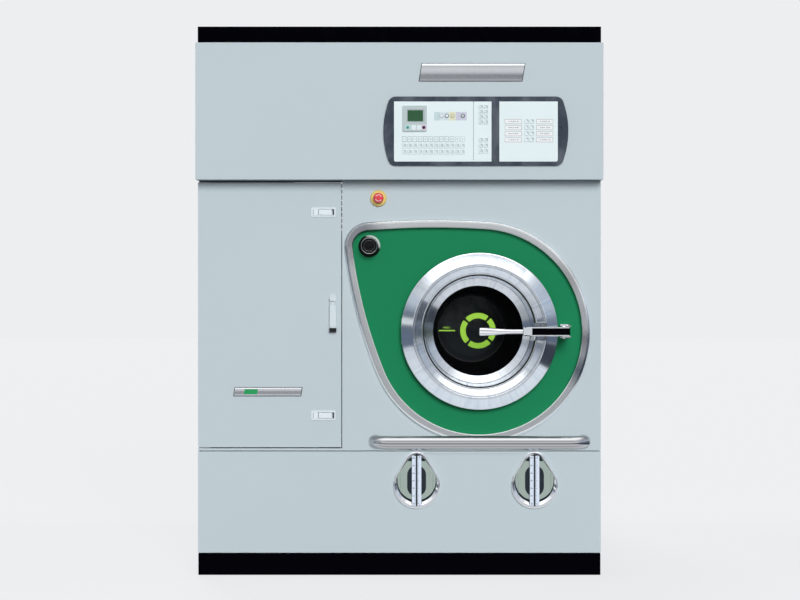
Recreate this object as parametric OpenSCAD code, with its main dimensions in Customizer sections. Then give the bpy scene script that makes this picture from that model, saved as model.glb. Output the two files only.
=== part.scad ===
// Dry cleaning machine: front-loading cabinet with a round loading door, a service door,
// solvent tanks, a driven drum, a still, a filter and a drying fan.
// Millimetres. +Z is up, -Y is the front, origin under the middle of the overall box.
// Depths called u are measured outwards from the plane of the front panels.

/* [Cabinet] */
// Width of the cabinet
body_w = 1450; // [1420:10:1500]
// Depth from the front panels to the rear panel
body_d = 1550; // [1500:10:1650]
// Height of the black top cover
cover_h = 64; // [50:1:80]
// Height of the header panel
header_h = 489; // [480:1:520]
// How far the header stands in front of the panels
header_proud = 60; // [50:1:70]
// How far the header overhangs each side
header_over = 3; // [2:0.5:5]
// Front panel height below the teardrop trim
trim_below = 33; // [32:1:50]
// Front panel height above the teardrop trim
trim_above = 154; // [140:1:180]
// Height of the lower panel
lower_h = 365; // [360:1:400]
// Height of the black plinth tray
plinth_h = 78; // [60:1:90]
// Thickness of the sheet metal
sheet = 2; // [1.5:0.25:2.5]
// Depth of the folded edges on the front panels
fold = 27; // [26:0.5:30]
// Depth of the folded edges on the service door
door_fold = 20; // [16:0.5:20]
// Gap between neighbouring panels
seam = 3; // [2:0.5:4]

/* [Frame] */
// Leg width of the corner posts
post_w = 50; // [45:1:55]
// Leg width of the rails
rail_w = 40; // [35:1:42]
// Metal thickness of posts and rails
angle_t = 4; // [3:0.5:5]
// Gap at each bolted joint of the frame
joint_gap = 0.3; // [0.2:0.1:0.5]

/* [Teardrop trim] */
// Inner radius of the trim round the loading door
trim_r = 369; // [364:1:372]
// Inner radius of the trim at its corner
trim_corner_r = 58; // [52:1:64]
// Corner centre left of the door centre
corner_dx = 397; // [385:1:402]
// Corner centre above the door centre
corner_dz = 306; // [296:1:312]
// Face width of the trim
trim_w = 26; // [20:1:28]
// How far the trim stands out
trim_out = 16; // [12:1:20]
// How far the coloured panel is set back
green_set = 6; // [4:1:9]
// Radius of the bulge along the top edge
bulge_top = 2800; // [2600:50:3000]
// Radius of the bulge along the left edge
bulge_left = 1720; // [1600:20:1900]

/* [Loading door] */
// Door centre from the right side of the cabinet
door_side = 438; // [436:1:446]
// Width of the ring's outer cone
cone_w = 44; // [40:1:48]
// Ridge of the ring outside the tub mouth
ridge_over = 22; // [20:0.5:26]
// Height of the ridge in front of the panels
ridge_u = 62; // [58:1:66]
// Back face of the ring flange
flange_u = 18; // [17.8:0.1:18.5]
// Width of the dish round the clear glass
dish_w = 52; // [46:1:58]
// Depth of the glass behind the panels
glass_u = 98; // [92:1:100]
// Thickness of the door glass
glass_t = 10; // [8:0.5:12]
// Wall thickness of the door dish
dish_t = 5; // [4:0.25:5.5]
// Inner radius of the tub mouth
mouth_r = 216; // [210:0.5:222]
// Width of the door seal
seal_w = 14; // [10:1:16]
// Hinge pin from the ring's left edge
hinge_in = 11; // [10:0.5:12]
// Hinge pin in front of the panels
hinge_u = 12; // [11.8:0.1:12.1]
// Radius of the hinge pin
hinge_pin_r = 2.5; // [2:0.25:3]
// Length of the hinge
hinge_l = 90; // [80:1:96]

/* [Door lever] */
// Lever pivot inside the ridge of the ring
pivot_in_ridge = 26; // [24:0.5:28]
// Catch pin outside the ring
catch_out = 14; // [13:0.5:16]
// Middle of the lever in front of the panels
lever_u = 110; // [108:1:114]
// Depth of the lever from front to back
lever_t = 30; // [26:1:32]
// Height of the black arm
arm_h = 24; // [20:1:24]
// Thickness of the side rails of the arm
arm_rail = 4; // [3:0.5:5]
// Arm length right of the catch pin
arm_reach = 22; // [20:1:23]
// Arm length left of the pivot
arm_back = 30; // [28:1:32]
// Length of the knuckle between arm and grip
knuckle_l = 31; // [28:1:34]
// Length of the grip
grip_l = 155; // [140:1:165]
// Height of the grip at its free end
grip_h = 30; // [26:1:34]
// Radius of the pivot pin and the catch pin
lever_pin_r = 5; // [4:0.25:5]
// Height of the bracket that carries the lever
bracket_h = 62; // [58:1:70]
// Width of the bracket that carries the lever
bracket_w = 36; // [32:1:38]

/* [Service door] */
// Width of the loading side, right of the service door
loading_w = 934; // [930:1:950]
// Sill height between the seam and the service door
service_sill = 8; // [6:1:10]
// Radius of the pivot pins
pivot_r = 5; // [4:0.25:5.5]
// Pivot pins from the side and the front of the door
pivot_in = 12; // [11.5:0.1:12.2]
// Width of the latch plates
latch_w = 87; // [80:1:92]
// Height of the latch plates
latch_h = 33.5; // [30:0.5:38]
// Latch plates from the door's free edge
latch_edge = 21; // [18:1:26]
// Latch plates from the door's ends
latch_end = 107; // [95:1:120]
// Swing handle from the door's free edge
handle_edge = 30; // [26:1:36]
// Middle of the swing handle above the door's foot
handle_rise = 483; // [460:1:500]
// Width of the swing handle
handle_w = 25; // [24:1:30]
// Length of the swing handle
handle_l = 137; // [130:1:144]

/* [Drum and tub] */
// Outer radius of the drum
drum_r = 395; // [385:1:400]
// Length of the drum
drum_l = 580; // [540:5:600]
// Gap between drum and tub
drum_gap = 21; // [16:1:22]
// Wall thickness of drum and tub
drum_t = 3; // [2.5:0.25:4]
// Height of the drum ribs
rib_h = 70; // [50:1:80]
// Radius of the drum shaft
shaft_r = 35; // [30:1:38]
// Radius of the drum pulley
pulley_r = 280; // [260:5:300]
// Radius of the motor pulley
motor_pulley_r = 45; // [40:1:50]
// Width of the belt
belt_w = 40; // [30:1:45]
// Radial clearance of shafts and pins in their bores
run_fit = 0.05; // [0.02:0.01:0.08]

/* [Rail and gauges] */
// Diameter of the front rail
rail_d = 50; // [44:1:52]
// Overall length of the front rail
rail_l = 798; // [760:2:810]
// Distance of the rail's axis from the panels
rail_out = 72; // [68:1:76]
// Height of the rail above the panel seam
rail_rise = 36; // [34:1:40]
// Distance between the two level gauges
gauge_pitch = 424; // [400:2:440]
// First gauge left of the door centre
gauge_dx = 225; // [215:1:235]
// Radius of the gauge bezels
gauge_r = 83.5; // [78:0.5:86]

/* [Controls] */
// Width of the control bezel
bezel_w = 659; // [640:1:680]
// Height of the control bezel
bezel_h = 246; // [240:1:250]
// Bow of the bezel's short sides
bezel_bow = 16; // [8:1:18]
// Depth of the control bezel
bezel_t = 8; // [6:0.5:10]
// Thickness of the printed plates on the bezel
plate_t = 2.5; // [2:0.25:3.5]
// Radius of the push buttons
button_r = 5.4; // [4.5:0.1:6]
// Emergency stop below the header
stop_below = 64; // [60:1:80]
// Radius of the emergency stop head
stop_r = 18.5; // [17:0.5:20]

/* [Rear] */
// How far the service connections stand out
nipple_l = 40; // [35:1:50]
// Radius of the water connections, three-quarter inch thread
water_r = 13.2; // [10:0.1:16]
// Radius of the compressed air connection, quarter inch thread
air_r = 6.6; // [5:0.1:8]
// Radius of the exhaust collar
vent_r = 60; // [50:1:70]

/* [Hidden] */
$fn = 64;

metal = "#9aa0a4";
panel_grey = "#bfccd2";
stainless = "#d6d9da";
chrome = "#e6e8ea";
black = "#1c1e20";
green = "#1e7d52";

touch = 0.3;                                   // gap between parts that seat on each other
cut = 1;                                       // overrun of cutting solids
rear_reach = nipple_l;
front_reach = lever_u + lever_t / 2;
panel_y = front_reach - (front_reach + body_d + rear_reach) / 2;
rear_y = panel_y + body_d;
hw = body_w / 2;
lower_z = plinth_h + 2;
seam_z = lower_z + lower_h;
ridge_r = mouth_r + ridge_over;
ring_r = ridge_r + cone_w;
glass_r = mouth_r - dish_w;
seal_r = ridge_r + 1;
door_z = seam_z + seam + trim_below + trim_w + trim_r + 2;
trim_top = door_z - 2 + corner_dz + trim_corner_r + trim_w;
header_z = trim_top + trim_above;
cover_z = header_z + header_h;
body_h = cover_z + cover_h;
door_x = hw - door_side;
split_x = hw - loading_w;                      // free edge of the service door
tray_t = 4;

// frame box
fx = hw - sheet - touch;
fu = -fold - touch;
fy0 = panel_y - fu;
fy1 = rear_y - sheet - touch;
fz0 = plinth_h + touch;
fz1 = cover_z - touch;
bearer_top = door_z - drum_r - drum_gap - drum_t - 14;
tank_top = bearer_top - rail_w - 5;

// teardrop outline: two circles joined by two wide arcs that touch them from outside
big_c = [door_x, door_z - 2];
small_c = big_c + [-corner_dx, corner_dz];
span = norm(small_c - big_c);
along = (small_c - big_c) / span;
across = [along[1], -along[0]];
function bulge_p(g) = (pow(g - trim_r, 2) - pow(g - trim_corner_r, 2) + span * span) / (2 * span);
function bulge_q(g) = sqrt(pow(g - trim_r, 2) - pow(bulge_p(g), 2));
top_c = big_c + bulge_p(bulge_top) * along - bulge_q(bulge_top) * across;
left_c = big_c + bulge_p(bulge_left) * along + bulge_q(bulge_left) * across;
function heading(v) = (atan2(v[1], v[0]) + 360) % 360;
function arc(c, r, a, b, n) = [for (i = [0:n]) c + r * [cos(a + (b - a) * i / n), sin(a + (b - a) * i / n)]];
a_top_big = heading(big_c - top_c);
a_top_small = heading(small_c - top_c);
a_left_small = heading(small_c - left_c);
a_left_big = heading(big_c - left_c);
function teardrop(s) = concat(
    arc(top_c, bulge_top + s, a_top_big, a_top_small, 6),
    arc(small_c, trim_corner_r + s, a_top_small, a_left_small, 14),
    arc(left_c, bulge_left + s, a_left_small, a_left_big, 6),
    arc(big_c, trim_r + s, a_left_big, a_top_big + 360, 56));

// ---- helpers ----------------------------------------------------------------
// Local x, y, z become right, up and out of the front
module at(x, z, u = 0) { translate([x, panel_y - u, z]) rotate([90, 0, 0]) children(); }
module plate(u0, u1) { at(0, 0, u0) linear_extrude(u1 - u0) children(); }
module slab(x, z, u) {
    translate([x[0], panel_y - u[1], z[0]]) cube([x[1] - x[0], u[1] - u[0], z[1] - z[0]]);
}
module rod(x, z, r, u) { at(x, z, u[0]) cylinder(r = r, h = u[1] - u[0]); }
module upright(x, u, r, z) { translate([x, panel_y - u, z[0]]) cylinder(r = r, h = z[1] - z[0]); }
module turned(x, z) { at(x, z) rotate_extrude($fn = 128) children(); }
// A sheet pan: a face with folded edges behind it
module pan(x, z, face, deep) {
    difference() {
        slab(x, z, [face - deep, face]);
        slab([x[0] + sheet, x[1] - sheet], [z[0] + sheet, z[1] - sheet], [face - deep - cut, face - sheet]);
    }
}
module stadium(w, h) {
    rise = (h - w) / 2;
    polygon(concat(arc([0, rise], w / 2, 0, 180, 24), arc([0, -rise], w / 2, 180, 360, 24)));
}
module rounded(w, h, r, n = 5) {
    x = w / 2 - r;
    y = h / 2 - r;
    polygon(concat(arc([x, y], r, 0, 90, n), arc([-x, y], r, 90, 180, n),
        arc([-x, -y], r, 180, 270, n), arc([x, -y], r, 270, 360, n)));
}
// Outline that wraps two circles, as a belt does
module wrap(c1, r1, c2, r2, n1, n2) {
    b = heading(c2 - c1);
    t = acos((r1 - r2) / norm(c2 - c1));
    polygon(concat(arc(c1, r1, b + t, b + 360 - t, n1), arc(c2, r2, b - t, b + t, n2)));
}

// ---- cabinet ----------------------------------------------------------------
module base_tray() {
    inset = 1;
    color(black) difference() {
        slab([-hw + inset, hw - inset], [0, plinth_h], [-body_d + inset, -inset]);
        slab([-hw + inset + tray_t, hw - inset - tray_t], [tray_t, plinth_h + cut],
            [-body_d + inset + tray_t, -inset - tray_t]);
    }
}

module post(x, y, sx, sy) {
    translate([x, y, fz0]) {
        mirror([sx < 0 ? 1 : 0, 0, 0]) mirror([0, sy < 0 ? 1 : 0, 0]) {
            cube([post_w, angle_t, fz1 - fz0]);
            cube([angle_t, post_w, fz1 - fz0]);
        }
    }
}
// Rails keep inside the posts' legs; their flat side is on top
module rail_x(y, z, x0, x1) {
    translate([x0, y, z - rail_w]) {
        cube([x1 - x0, angle_t, rail_w]);
        translate([0, 0, rail_w - angle_t]) cube([x1 - x0, rail_w, angle_t]);
    }
}
module rail_y(x, z, y0, y1, s) {
    translate([x, y0, z - rail_w]) mirror([s < 0 ? 1 : 0, 0, 0]) {
        cube([angle_t, y1 - y0, rail_w]);
        translate([0, 0, rail_w - angle_t]) cube([rail_w, y1 - y0, angle_t]);
    }
}
saddle_u = [-200, -620];
module frame() {
    g = angle_t + joint_gap;
    side = [fy0 + g + rail_w + joint_gap, fy1 - g - rail_w - joint_gap];
    color(metal) {
        for (sx = [-1, 1]) {
            post(sx * fx, fy0, -sx, 1);
            post(sx * fx, fy1, -sx, -1);
        }
        translate([split_x + 4, fy0, 0]) {
            translate([0, 0, fz0]) cube([angle_t, post_w, fz1 - fz0]);
            translate([0, 0, fz0]) cube([post_w, angle_t, fz1 - fz0]);
        }
        for (z = [fz1, bearer_top]) {
            rail_x(fy0 + g, z, -fx + g, split_x + 4 - joint_gap);
            rail_x(fy0 + g, z, split_x + 4 + g, fx - g);
            translate([0, fy1 + fy0, 0]) mirror([0, 1, 0]) rail_x(fy0 + g, z, -fx + g, fx - g);
            for (s = [-1, 1]) rail_y(s * (fx - g), z, side[0], side[1], -s);
        }
        for (u = saddle_u) {
            rail_x(panel_y - u, bearer_top, -fx + g + rail_w + joint_gap, fx - g - rail_w - joint_gap);
            tub_saddle(u);
        }
    }
}
module tub_saddle(u) {
    half = 200;
    t = 12;
    difference() {
        slab([door_x - half, door_x + half], [bearer_top + joint_gap, bearer_top + 62], [u - t, u]);
        rod(door_x, door_z, drum_r + drum_gap + drum_t + touch, [u - t - cut, u + cut]);
    }
}

module side_panel() {
    color(panel_grey) difference() {
        slab([hw - sheet, hw], [lower_z, cover_z - touch], [-body_d, -fold - seam]);
        louvres(hw - sheet / 2, -body_d + 330, 250);
    }
}
// Rows of cooling slots through a side panel
module louvres(x, u, z) {
    for (i = [0:7]) slab([x - 5, x + 5], [z + i * 24, z + i * 24 + 8], [u - 90, u + 90]);
}
module side_panel_left() { mirror([1, 0, 0]) side_panel(); }
module side_panel_right() { side_panel(); }

module rear_panel() {
    color(panel_grey) difference() {
        slab([-hw + sheet + touch, hw - sheet - touch], [lower_z, cover_z - touch], [-body_d, -body_d + sheet]);
        for (x = [-350, 350], i = [0:9])
            slab([x - 120, x + 120], [1300 + i * 26, 1308 + i * 26], [-body_d - cut, -body_d + sheet + cut]);
        for (p = ports) rod(p[0], p[1], p[2] + 2, [-body_d - cut, -body_d + sheet + cut]);
    }
}

module top_cover() {
    front_u = 10;
    color(black) difference() {
        slab([-hw, hw], [cover_z, body_h], [-body_d, front_u]);
        slab([-hw + sheet, hw - sheet], [cover_z - cut, body_h - sheet], [-body_d + sheet, front_u - sheet]);
    }
}

module header_panel() {
    x = hw + header_over;
    color(panel_grey) pan([-x, x], [header_z, cover_z - touch], header_proud, header_proud + fold);
}

module front_panel() {
    left = split_x + seam;
    color(panel_grey) difference() {
        union() {
            pan([left, hw], [seam_z + seam, header_z - 2], 0, fold);
            slab([-hw, left + sheet], [seam_z + seam, seam_z + seam + service_sill], [-fold, 0]);
        }
        slab([-hw + sheet, left - cut], [seam_z + seam - cut, seam_z + seam + service_sill - sheet],
            [-fold - cut, -sheet]);
        plate(-10, 5) polygon(teardrop(14));
        rod(stop_x, stop_z, 11, [-10, 5]);
    }
}

module lower_panel() {
    color(panel_grey) difference() {
        pan([-hw, hw], [lower_z, seam_z], 0, fold);
        for (x = gauge_xs) plate(-5, 5) gauge_shape(x, -10);
    }
}

// ---- teardrop trim and coloured panel ----------------------------------------
trim_section = [[0, -green_set], [0, trim_out - 5], [2, trim_out - 1.5], [5, trim_out],
    [trim_w - 8, trim_out], [trim_w - 3.5, trim_out - 2], [trim_w - 0.8, trim_out - 6],
    [trim_w, trim_out - 11], [trim_w, touch], [12, touch], [12, -green_set]];
module trim_frame() {
    rings = [for (s = trim_section) [for (p = teardrop(s[0])) [p[0], p[1], s[1]]]];
    n = len(rings[0]);
    m = len(rings);
    pts = [for (r = rings) for (p = r) p];
    faces = [for (j = [0:m - 1], i = [0:n - 1]) let (k = (j + 1) % m, l = (i + 1) % n)
        each [[j * n + i, k * n + i, j * n + l], [j * n + l, k * n + i, k * n + l]]];
    color(stainless) at(0, 0) polyhedron(pts, faces);
}

green_hole = ring_r - 20;
module green_panel() {
    color(green) difference() {
        plate(-green_set - sheet, -green_set) polygon(teardrop(22));
        rod(door_x, door_z, green_hole, [-20, 10]);
        rod(small_c[0] + 2, small_c[1] + 2, 20, [-20, 10]);
    }
}

// ---- filler ------------------------------------------------------------------
cap_x = small_c[0] + 2;
cap_z = small_c[1] + 2;
neck_r = 24;
neck_out = 26;
cap_r = 32;
cap_out = 40;
module filler_neck() {
    color(chrome) turned(cap_x, cap_z) polygon([[18, -green_set], [cap_r + 5, -green_set],
        [cap_r + 5, -green_set + 2.5], [cap_r + 3, -green_set + 4], [neck_r, -green_set + 4],
        [neck_r, neck_out], [18, neck_out]]);
}
module filler_cap() {
    skirt = -green_set + 4 + touch;
    color(black) difference() {
        turned(cap_x, cap_z) polygon([[0, neck_out + touch], [neck_r + run_fit, neck_out + touch],
            [neck_r + run_fit, skirt], [cap_r - 1.5, skirt], [cap_r, skirt + 1.5], [cap_r, cap_out - 4],
            [cap_r - 3, cap_out], [cap_r - 6, cap_out], [cap_r - 8, cap_out - 3], [cap_r - 12, cap_out - 3],
            [cap_r - 13, cap_out - 7], [0, cap_out - 7]]);
        for (i = [0:17]) at(cap_x, cap_z) rotate([0, 0, i * 20])
            translate([cap_r + 1.6, 0, skirt - cut]) cylinder(r = 2.6, h = cap_out - 4, $fn = 24);
    }
}

// ---- loading door --------------------------------------------------------------
hinge_x = door_x - ring_r + hinge_in;
pocket_r = glass_r + 11;
dish_r = glass_r + 28;                         // foot of the dish wall
mouth_in = ridge_r - 34;                       // head of the dish wall
dish_u = ridge_u - 27;
ring_front = [[ring_r, flange_u + 6.5], [ring_r - 1, flange_u + 8.5], [ring_r - 3.5, flange_u + 10],
    [ridge_r + 6, ridge_u - 2.5], [ridge_r + 2.5, ridge_u - 0.4], [ridge_r, ridge_u],
    [ridge_r - 3, ridge_u - 1], [ridge_r - 6, ridge_u - 4], [mouth_in + 4, dish_u + 2],
    [mouth_in + 1, dish_u + 1.2], [mouth_in - 1, dish_u - 1], [dish_r, -glass_u + 16], [dish_r - 1, -glass_u + 14],
    [glass_r + 2, -glass_u + 1.3], [glass_r, -glass_u]];
ring_back = [[glass_r, -glass_u - 3], [pocket_r, -glass_u - 3], [pocket_r, -glass_u - glass_t - 9],
    [pocket_r + dish_t, -glass_u - glass_t - 9], [pocket_r + dish_t + 2, -glass_u - 5],
    [dish_r + dish_t, -glass_u + 11], [mouth_in + dish_t - 0.5, flange_u - 4], [mouth_in + 10, flange_u],
    [ring_r, flange_u]];
module door_ring() {
    color(stainless) turned(door_x, door_z) polygon(concat(ring_front, ring_back));
}
module door_glass() {
    rim = pocket_r - 3;
    u = -glass_u - 5;
    color("#20282e", 0.6) turned(door_x, door_z)
        polygon([[0, u - glass_t], [rim, u - glass_t], [rim, u], [glass_r - 4, u],
            [glass_r * 0.8, u + 4], [glass_r * 0.5, u + 9], [glass_r * 0.2, u + 11.5], [0, u + 12]]);
}
// The door seal behind the flange and the glass seal in its pocket
module door_gasket() {
    w = seal_w / 2;
    u = -glass_u - 5;
    color(black) {
        turned(door_x, door_z) polygon([[seal_r - w, flange_u], [seal_r - w, 8], [seal_r - w + 3, touch + 1],
            [seal_r, touch], [seal_r + w - 3, touch + 1], [seal_r + w, 8], [seal_r + w, flange_u]]);
        turned(door_x, door_z) polygon([[glass_r + 1, -glass_u - 3 - touch], [pocket_r - touch, -glass_u - 3 - touch],
            [pocket_r - touch, -glass_u - glass_t - 9], [glass_r + 1, -glass_u - glass_t - 9],
            [glass_r + 1, u - glass_t - touch], [pocket_r - 3 + touch, u - glass_t - touch],
            [pocket_r - 3 + touch, u + touch], [glass_r + 1, u + touch]]);
    }
}
knuckles = 5;
knuckle_gap = 0.4;
barrel_r = 5.5;
// One of the hinge's knuckles, counted from below
module knuckle(i) {
    step = hinge_l / knuckles;
    translate([hinge_x, panel_y - hinge_u, door_z - hinge_l / 2 + i * step + knuckle_gap / 2])
        cylinder(r = barrel_r, h = step - knuckle_gap);
}
module door_hinge_leaf() {
    leaf_w = 24;
    step = hinge_l / knuckles;
    color(stainless) difference() {
        union() {
            for (i = [1, 3]) {
                knuckle(i);
                z = door_z - hinge_l / 2 + i * step + knuckle_gap / 2;
                slab([hinge_x, hinge_x + barrel_r + 3], [z, z + step - knuckle_gap], [flange_u - 4, flange_u]);
            }
            slab([hinge_x + barrel_r + 1, hinge_x + leaf_w], [door_z - hinge_l / 2, door_z + hinge_l / 2],
                [flange_u - 4, flange_u]);
        }
        upright(hinge_x, hinge_u, hinge_pin_r + run_fit, [door_z - hinge_l, door_z + hinge_l]);
    }
}

// ---- lever -----------------------------------------------------------------------
pivot_x = door_x + ridge_r - pivot_in_ridge;
catch_dx = pivot_in_ridge + cone_w + catch_out;    // catch pin right of the pivot
arm_end = catch_dx + arm_reach;
arm_half = arm_h / 2 + arm_rail;
module lever_box(x, h, t) {
    slab([pivot_x + x[0], pivot_x + x[1]], [door_z - h / 2, door_z + h / 2], [lever_u - t / 2, lever_u + t / 2]);
}
module lever_arm() {
    color(black) difference() {
        union() {
            lever_box([-arm_back, arm_end - 8], arm_h, lever_t - 4);
            upright(pivot_x + arm_end - 12, lever_u, 11, [door_z - arm_h / 2, door_z + arm_h / 2]);
        }
        upright(pivot_x, lever_u, lever_pin_r + run_fit, [door_z - arm_h, door_z + arm_h]);
        upright(pivot_x + catch_dx, lever_u, lever_pin_r + run_fit, [door_z - arm_h, door_z + arm_h]);
    }
}
// Side rails, knuckle, grip and catch pin: the bright part of the lever
module lever_grip() {
    end_x = -arm_back - knuckle_l;
    pin_half = 25;
    color(chrome) {
        for (s = [-1, 1]) difference() {
            translate([0, 0, s > 0 ? arm_h / 2 : -arm_h / 2 - arm_rail])
                slab([pivot_x - arm_back - 2, pivot_x + arm_end - 4], [door_z, door_z + arm_rail],
                    [lever_u - lever_t / 2, lever_u + lever_t / 2 - 3]);
            upright(pivot_x, lever_u, lever_pin_r + run_fit, [door_z - 40, door_z + 40]);
        }
        difference() {
            lever_box([end_x, -arm_back], 2 * arm_half, lever_t);
            for (s = [-1, 1]) translate([0, 0, s * (arm_half + 1)]) lever_box([end_x + 5, end_x + 13], 6, lever_t + 2);
        }
        translate([pivot_x + end_x, panel_y - lever_u + 8, door_z]) rotate([90, 0, 0]) {
            linear_extrude(16) polygon(grip_outline);
            translate([0, 0, 16]) linear_extrude(3) polygon([for (p = grip_outline) [p[0], p[1] * 0.55]]);
        }
        upright(pivot_x + catch_dx, lever_u, lever_pin_r, [door_z - pin_half + 3, door_z + pin_half - 3]);
        for (s = [-1, 1]) translate([pivot_x + catch_dx, panel_y - lever_u, door_z + s * (pin_half - 3)])
            rotate([s < 0 ? 180 : 0, 0, 0]) cylinder(r1 = lever_pin_r + 2, r2 = lever_pin_r, h = 3);
    }
}
grip_outline = [[0, -8.5], [0, 8.5], [-40, 8.5], [-70, 10], [-105, 14], [-grip_l + 4, grip_h / 2],
    [-grip_l, grip_h / 2 - 4], [-grip_l, -grip_h / 2 + 4], [-grip_l + 4, -grip_h / 2], [-105, -14],
    [-70, -10], [-40, -8.5]];
// Clevis bolted to the ring, with the pivot pin through its two ears
module lever_bracket() {
    ear = arm_half + 1;
    x = [pivot_x - bracket_w / 2, pivot_x + bracket_w / 2];
    foot_u = [36, lever_u - lever_t / 2 - 14.5];
    color(chrome) {
        difference() {
            union() {
                slab([x[0], x[1] + 8], [door_z - bracket_h / 2, door_z + bracket_h / 2], foot_u);
                for (s = [-1, 1]) slab(x, s > 0 ? [door_z + ear, door_z + ear + 8] : [door_z - ear - 8, door_z - ear],
                    [foot_u[0], lever_u + 2]);
                for (s = [-1, 1]) upright(pivot_x, lever_u, 10,
                    s > 0 ? [door_z + ear, door_z + ear + 8] : [door_z - ear - 8, door_z - ear]);
            }
            turned(door_x, door_z) polygon(concat([for (p = ring_front) if (p[1] > 0) [p[0], p[1] + touch]],
                [[mouth_in - 2, -30], [ring_r, -30]]));
        }
        upright(pivot_x, lever_u, lever_pin_r, [door_z - ear - 11, door_z + ear + 11]);
    }
}
// Two hook plates beside the arm; their lips stop just right of the catch pin
module door_keeper() {
    x0 = pivot_x + catch_dx;
    edge = x0 + lever_pin_r + 1;
    gap = arm_half + 1;
    far = x0 + 24;
    color(chrome) {
        for (s = [-1, 1]) translate([0, 0, s > 0 ? gap : -gap - 4]) {
            slab([x0 - 4, far], [door_z, door_z + 4], [-green_set + 4, 56]);
            slab([edge + 3, far], [door_z, door_z + 4], [50, lever_u + lever_pin_r + 6]);
            slab([edge, far], [door_z, door_z + 4], [lever_u + lever_pin_r + 2, lever_u + lever_pin_r + 6]);
        }
        slab([x0 - 4, far + 6], [door_z - gap - 8, door_z + gap + 8], [-green_set, -green_set + 4]);
    }
}

// ---- hinge pins and pivots ----------------------------------------------------------
service_foot = seam_z + seam + service_sill + 4;
service_top = header_z - 7;
service_pivot = [-hw + pivot_in, pivot_in];
pivot_pin_l = 16;
pivot_play = 0.7;                              // gap between the pivot blocks and the door
// Fixed leaf and pin of the loading door, pivot blocks and pins of the service door
module hinge_fixings() {
    step = hinge_l / knuckles;
    color(stainless) {
        difference() {
            union() for (i = [0, 2, 4]) {
                z = door_z - hinge_l / 2 + i * step + knuckle_gap / 2;
                knuckle(i);
                slab([hinge_x - 1, hinge_x + barrel_r], [z, z + step - knuckle_gap], [-green_set + 3, hinge_u]);
            }
            upright(hinge_x, hinge_u, hinge_pin_r, [door_z - hinge_l, door_z + hinge_l]);
        }
        slab([hinge_x - 9, hinge_x + 8], [door_z - hinge_l / 2, door_z + hinge_l / 2],
            [-green_set + touch, -green_set + 3]);
        upright(hinge_x, hinge_u, hinge_pin_r, [door_z - hinge_l / 2 - 2, door_z + hinge_l / 2 + 2]);
        pivot_block(service_foot - pivot_play, 1);
        pivot_block(service_top + pivot_play, -1);
    }
}
module pivot_block(z, s) {
    x = service_pivot[0];
    u = -service_pivot[1];
    upright(x, u, pivot_r, s > 0 ? [z, z + pivot_pin_l] : [z - pivot_pin_l, z]);
    translate([0, 0, s > 0 ? -3 : 0]) slab([x - 9, x + 30], [z, z + 3], [fu + touch, u + 7]);
}

// ---- service door ----------------------------------------------------------------------
handle_x = split_x - handle_edge;
handle_z = service_foot + handle_rise;
latch_x = split_x - latch_edge - latch_w / 2;
latch_zs = [service_top - latch_end, service_foot + latch_end + 8];
hub_z = handle_z + handle_l / 2 - 16;
module service_door() {
    w = 26;
    color(panel_grey) difference() {
        union() {
            pan([-hw, split_x], [service_foot, service_top], 0, door_fold);
            for (z = [service_foot, service_top - 24])
                slab([-hw, -hw + w], [z, z + 24], [-door_fold, 0]);
            for (x = [-hw + 150, split_x - 120])
                slab([x, x + 40], [service_foot, service_top], [-16, -sheet]);
        }
        for (z = latch_zs) at(latch_x, z, -20) linear_extrude(40) rounded(latch_w - 8, latch_h - 8, 3);
        rod(handle_x, hub_z, 9, [-40, 10]);
        for (s = [-1, 1]) upright(service_pivot[0], -service_pivot[1], pivot_r + run_fit,
            s > 0 ? [service_foot - cut, service_foot + pivot_pin_l] : [service_top - pivot_pin_l, service_top + cut]);
    }
}

paddle_in = 28;                                // paddle hinge from the plate's left edge
paddle_w = 46;
paddle_t = 4;
paddle_pin_r = 1.5;
// Flush latch plates let into the service door
module latch_housings() {
    color(chrome) for (z = latch_zs) difference() {
        union() {
            at(latch_x, z, touch) linear_extrude(2.5) rounded(latch_w, latch_h, 4);
            at(latch_x, z, -14) linear_extrude(15) rounded(latch_w - 9, latch_h - 9, 3);
        }
        at(latch_x, z, -11) translate([-latch_w / 2 + paddle_in - 4, -latch_h / 2 + 6, 0])
            cube([paddle_w + 13, latch_h - 12, 20]);
        upright(latch_x - latch_w / 2 + paddle_in, touch - 1, paddle_pin_r + run_fit,
            [z - latch_h / 2 + 3, z + latch_h / 2 - 3]);
    }
}
module latch_paddle(z) {
    x0 = latch_x - latch_w / 2 + paddle_in;
    half = latch_h / 2 - 7;
    color(stainless) {
        slab([x0 - 1, x0 + paddle_w], [z - half, z + half], [touch - 0.5, touch + paddle_t - 1]);
        upright(x0, touch - 1, paddle_pin_r + 1, [z - half, z + half]);
        upright(x0, touch - 1, paddle_pin_r, [z - half - 3, z + half + 3]);
        slab([x0 + paddle_w - 6, x0 + paddle_w], [z - half, z + half], [-5, touch]);
    }
}
module latch_paddle_top() { latch_paddle(latch_zs[0]); }
module latch_paddle_bottom() { latch_paddle(latch_zs[1]); }

base_out = 6;
module handle_base() {
    lock_h = 13;
    color(black) difference() {
        union() {
            at(handle_x, handle_z) linear_extrude(base_out) rounded(handle_w, handle_l, 6);
            slab([handle_x - handle_w / 2, handle_x + handle_w / 2],
                [handle_z - handle_l / 2 + 1, handle_z - handle_l / 2 + lock_h], [base_out - cut, 17]);
        }
        rod(handle_x, hub_z, 8 + run_fit, [-5, 30]);
    }
}
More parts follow.
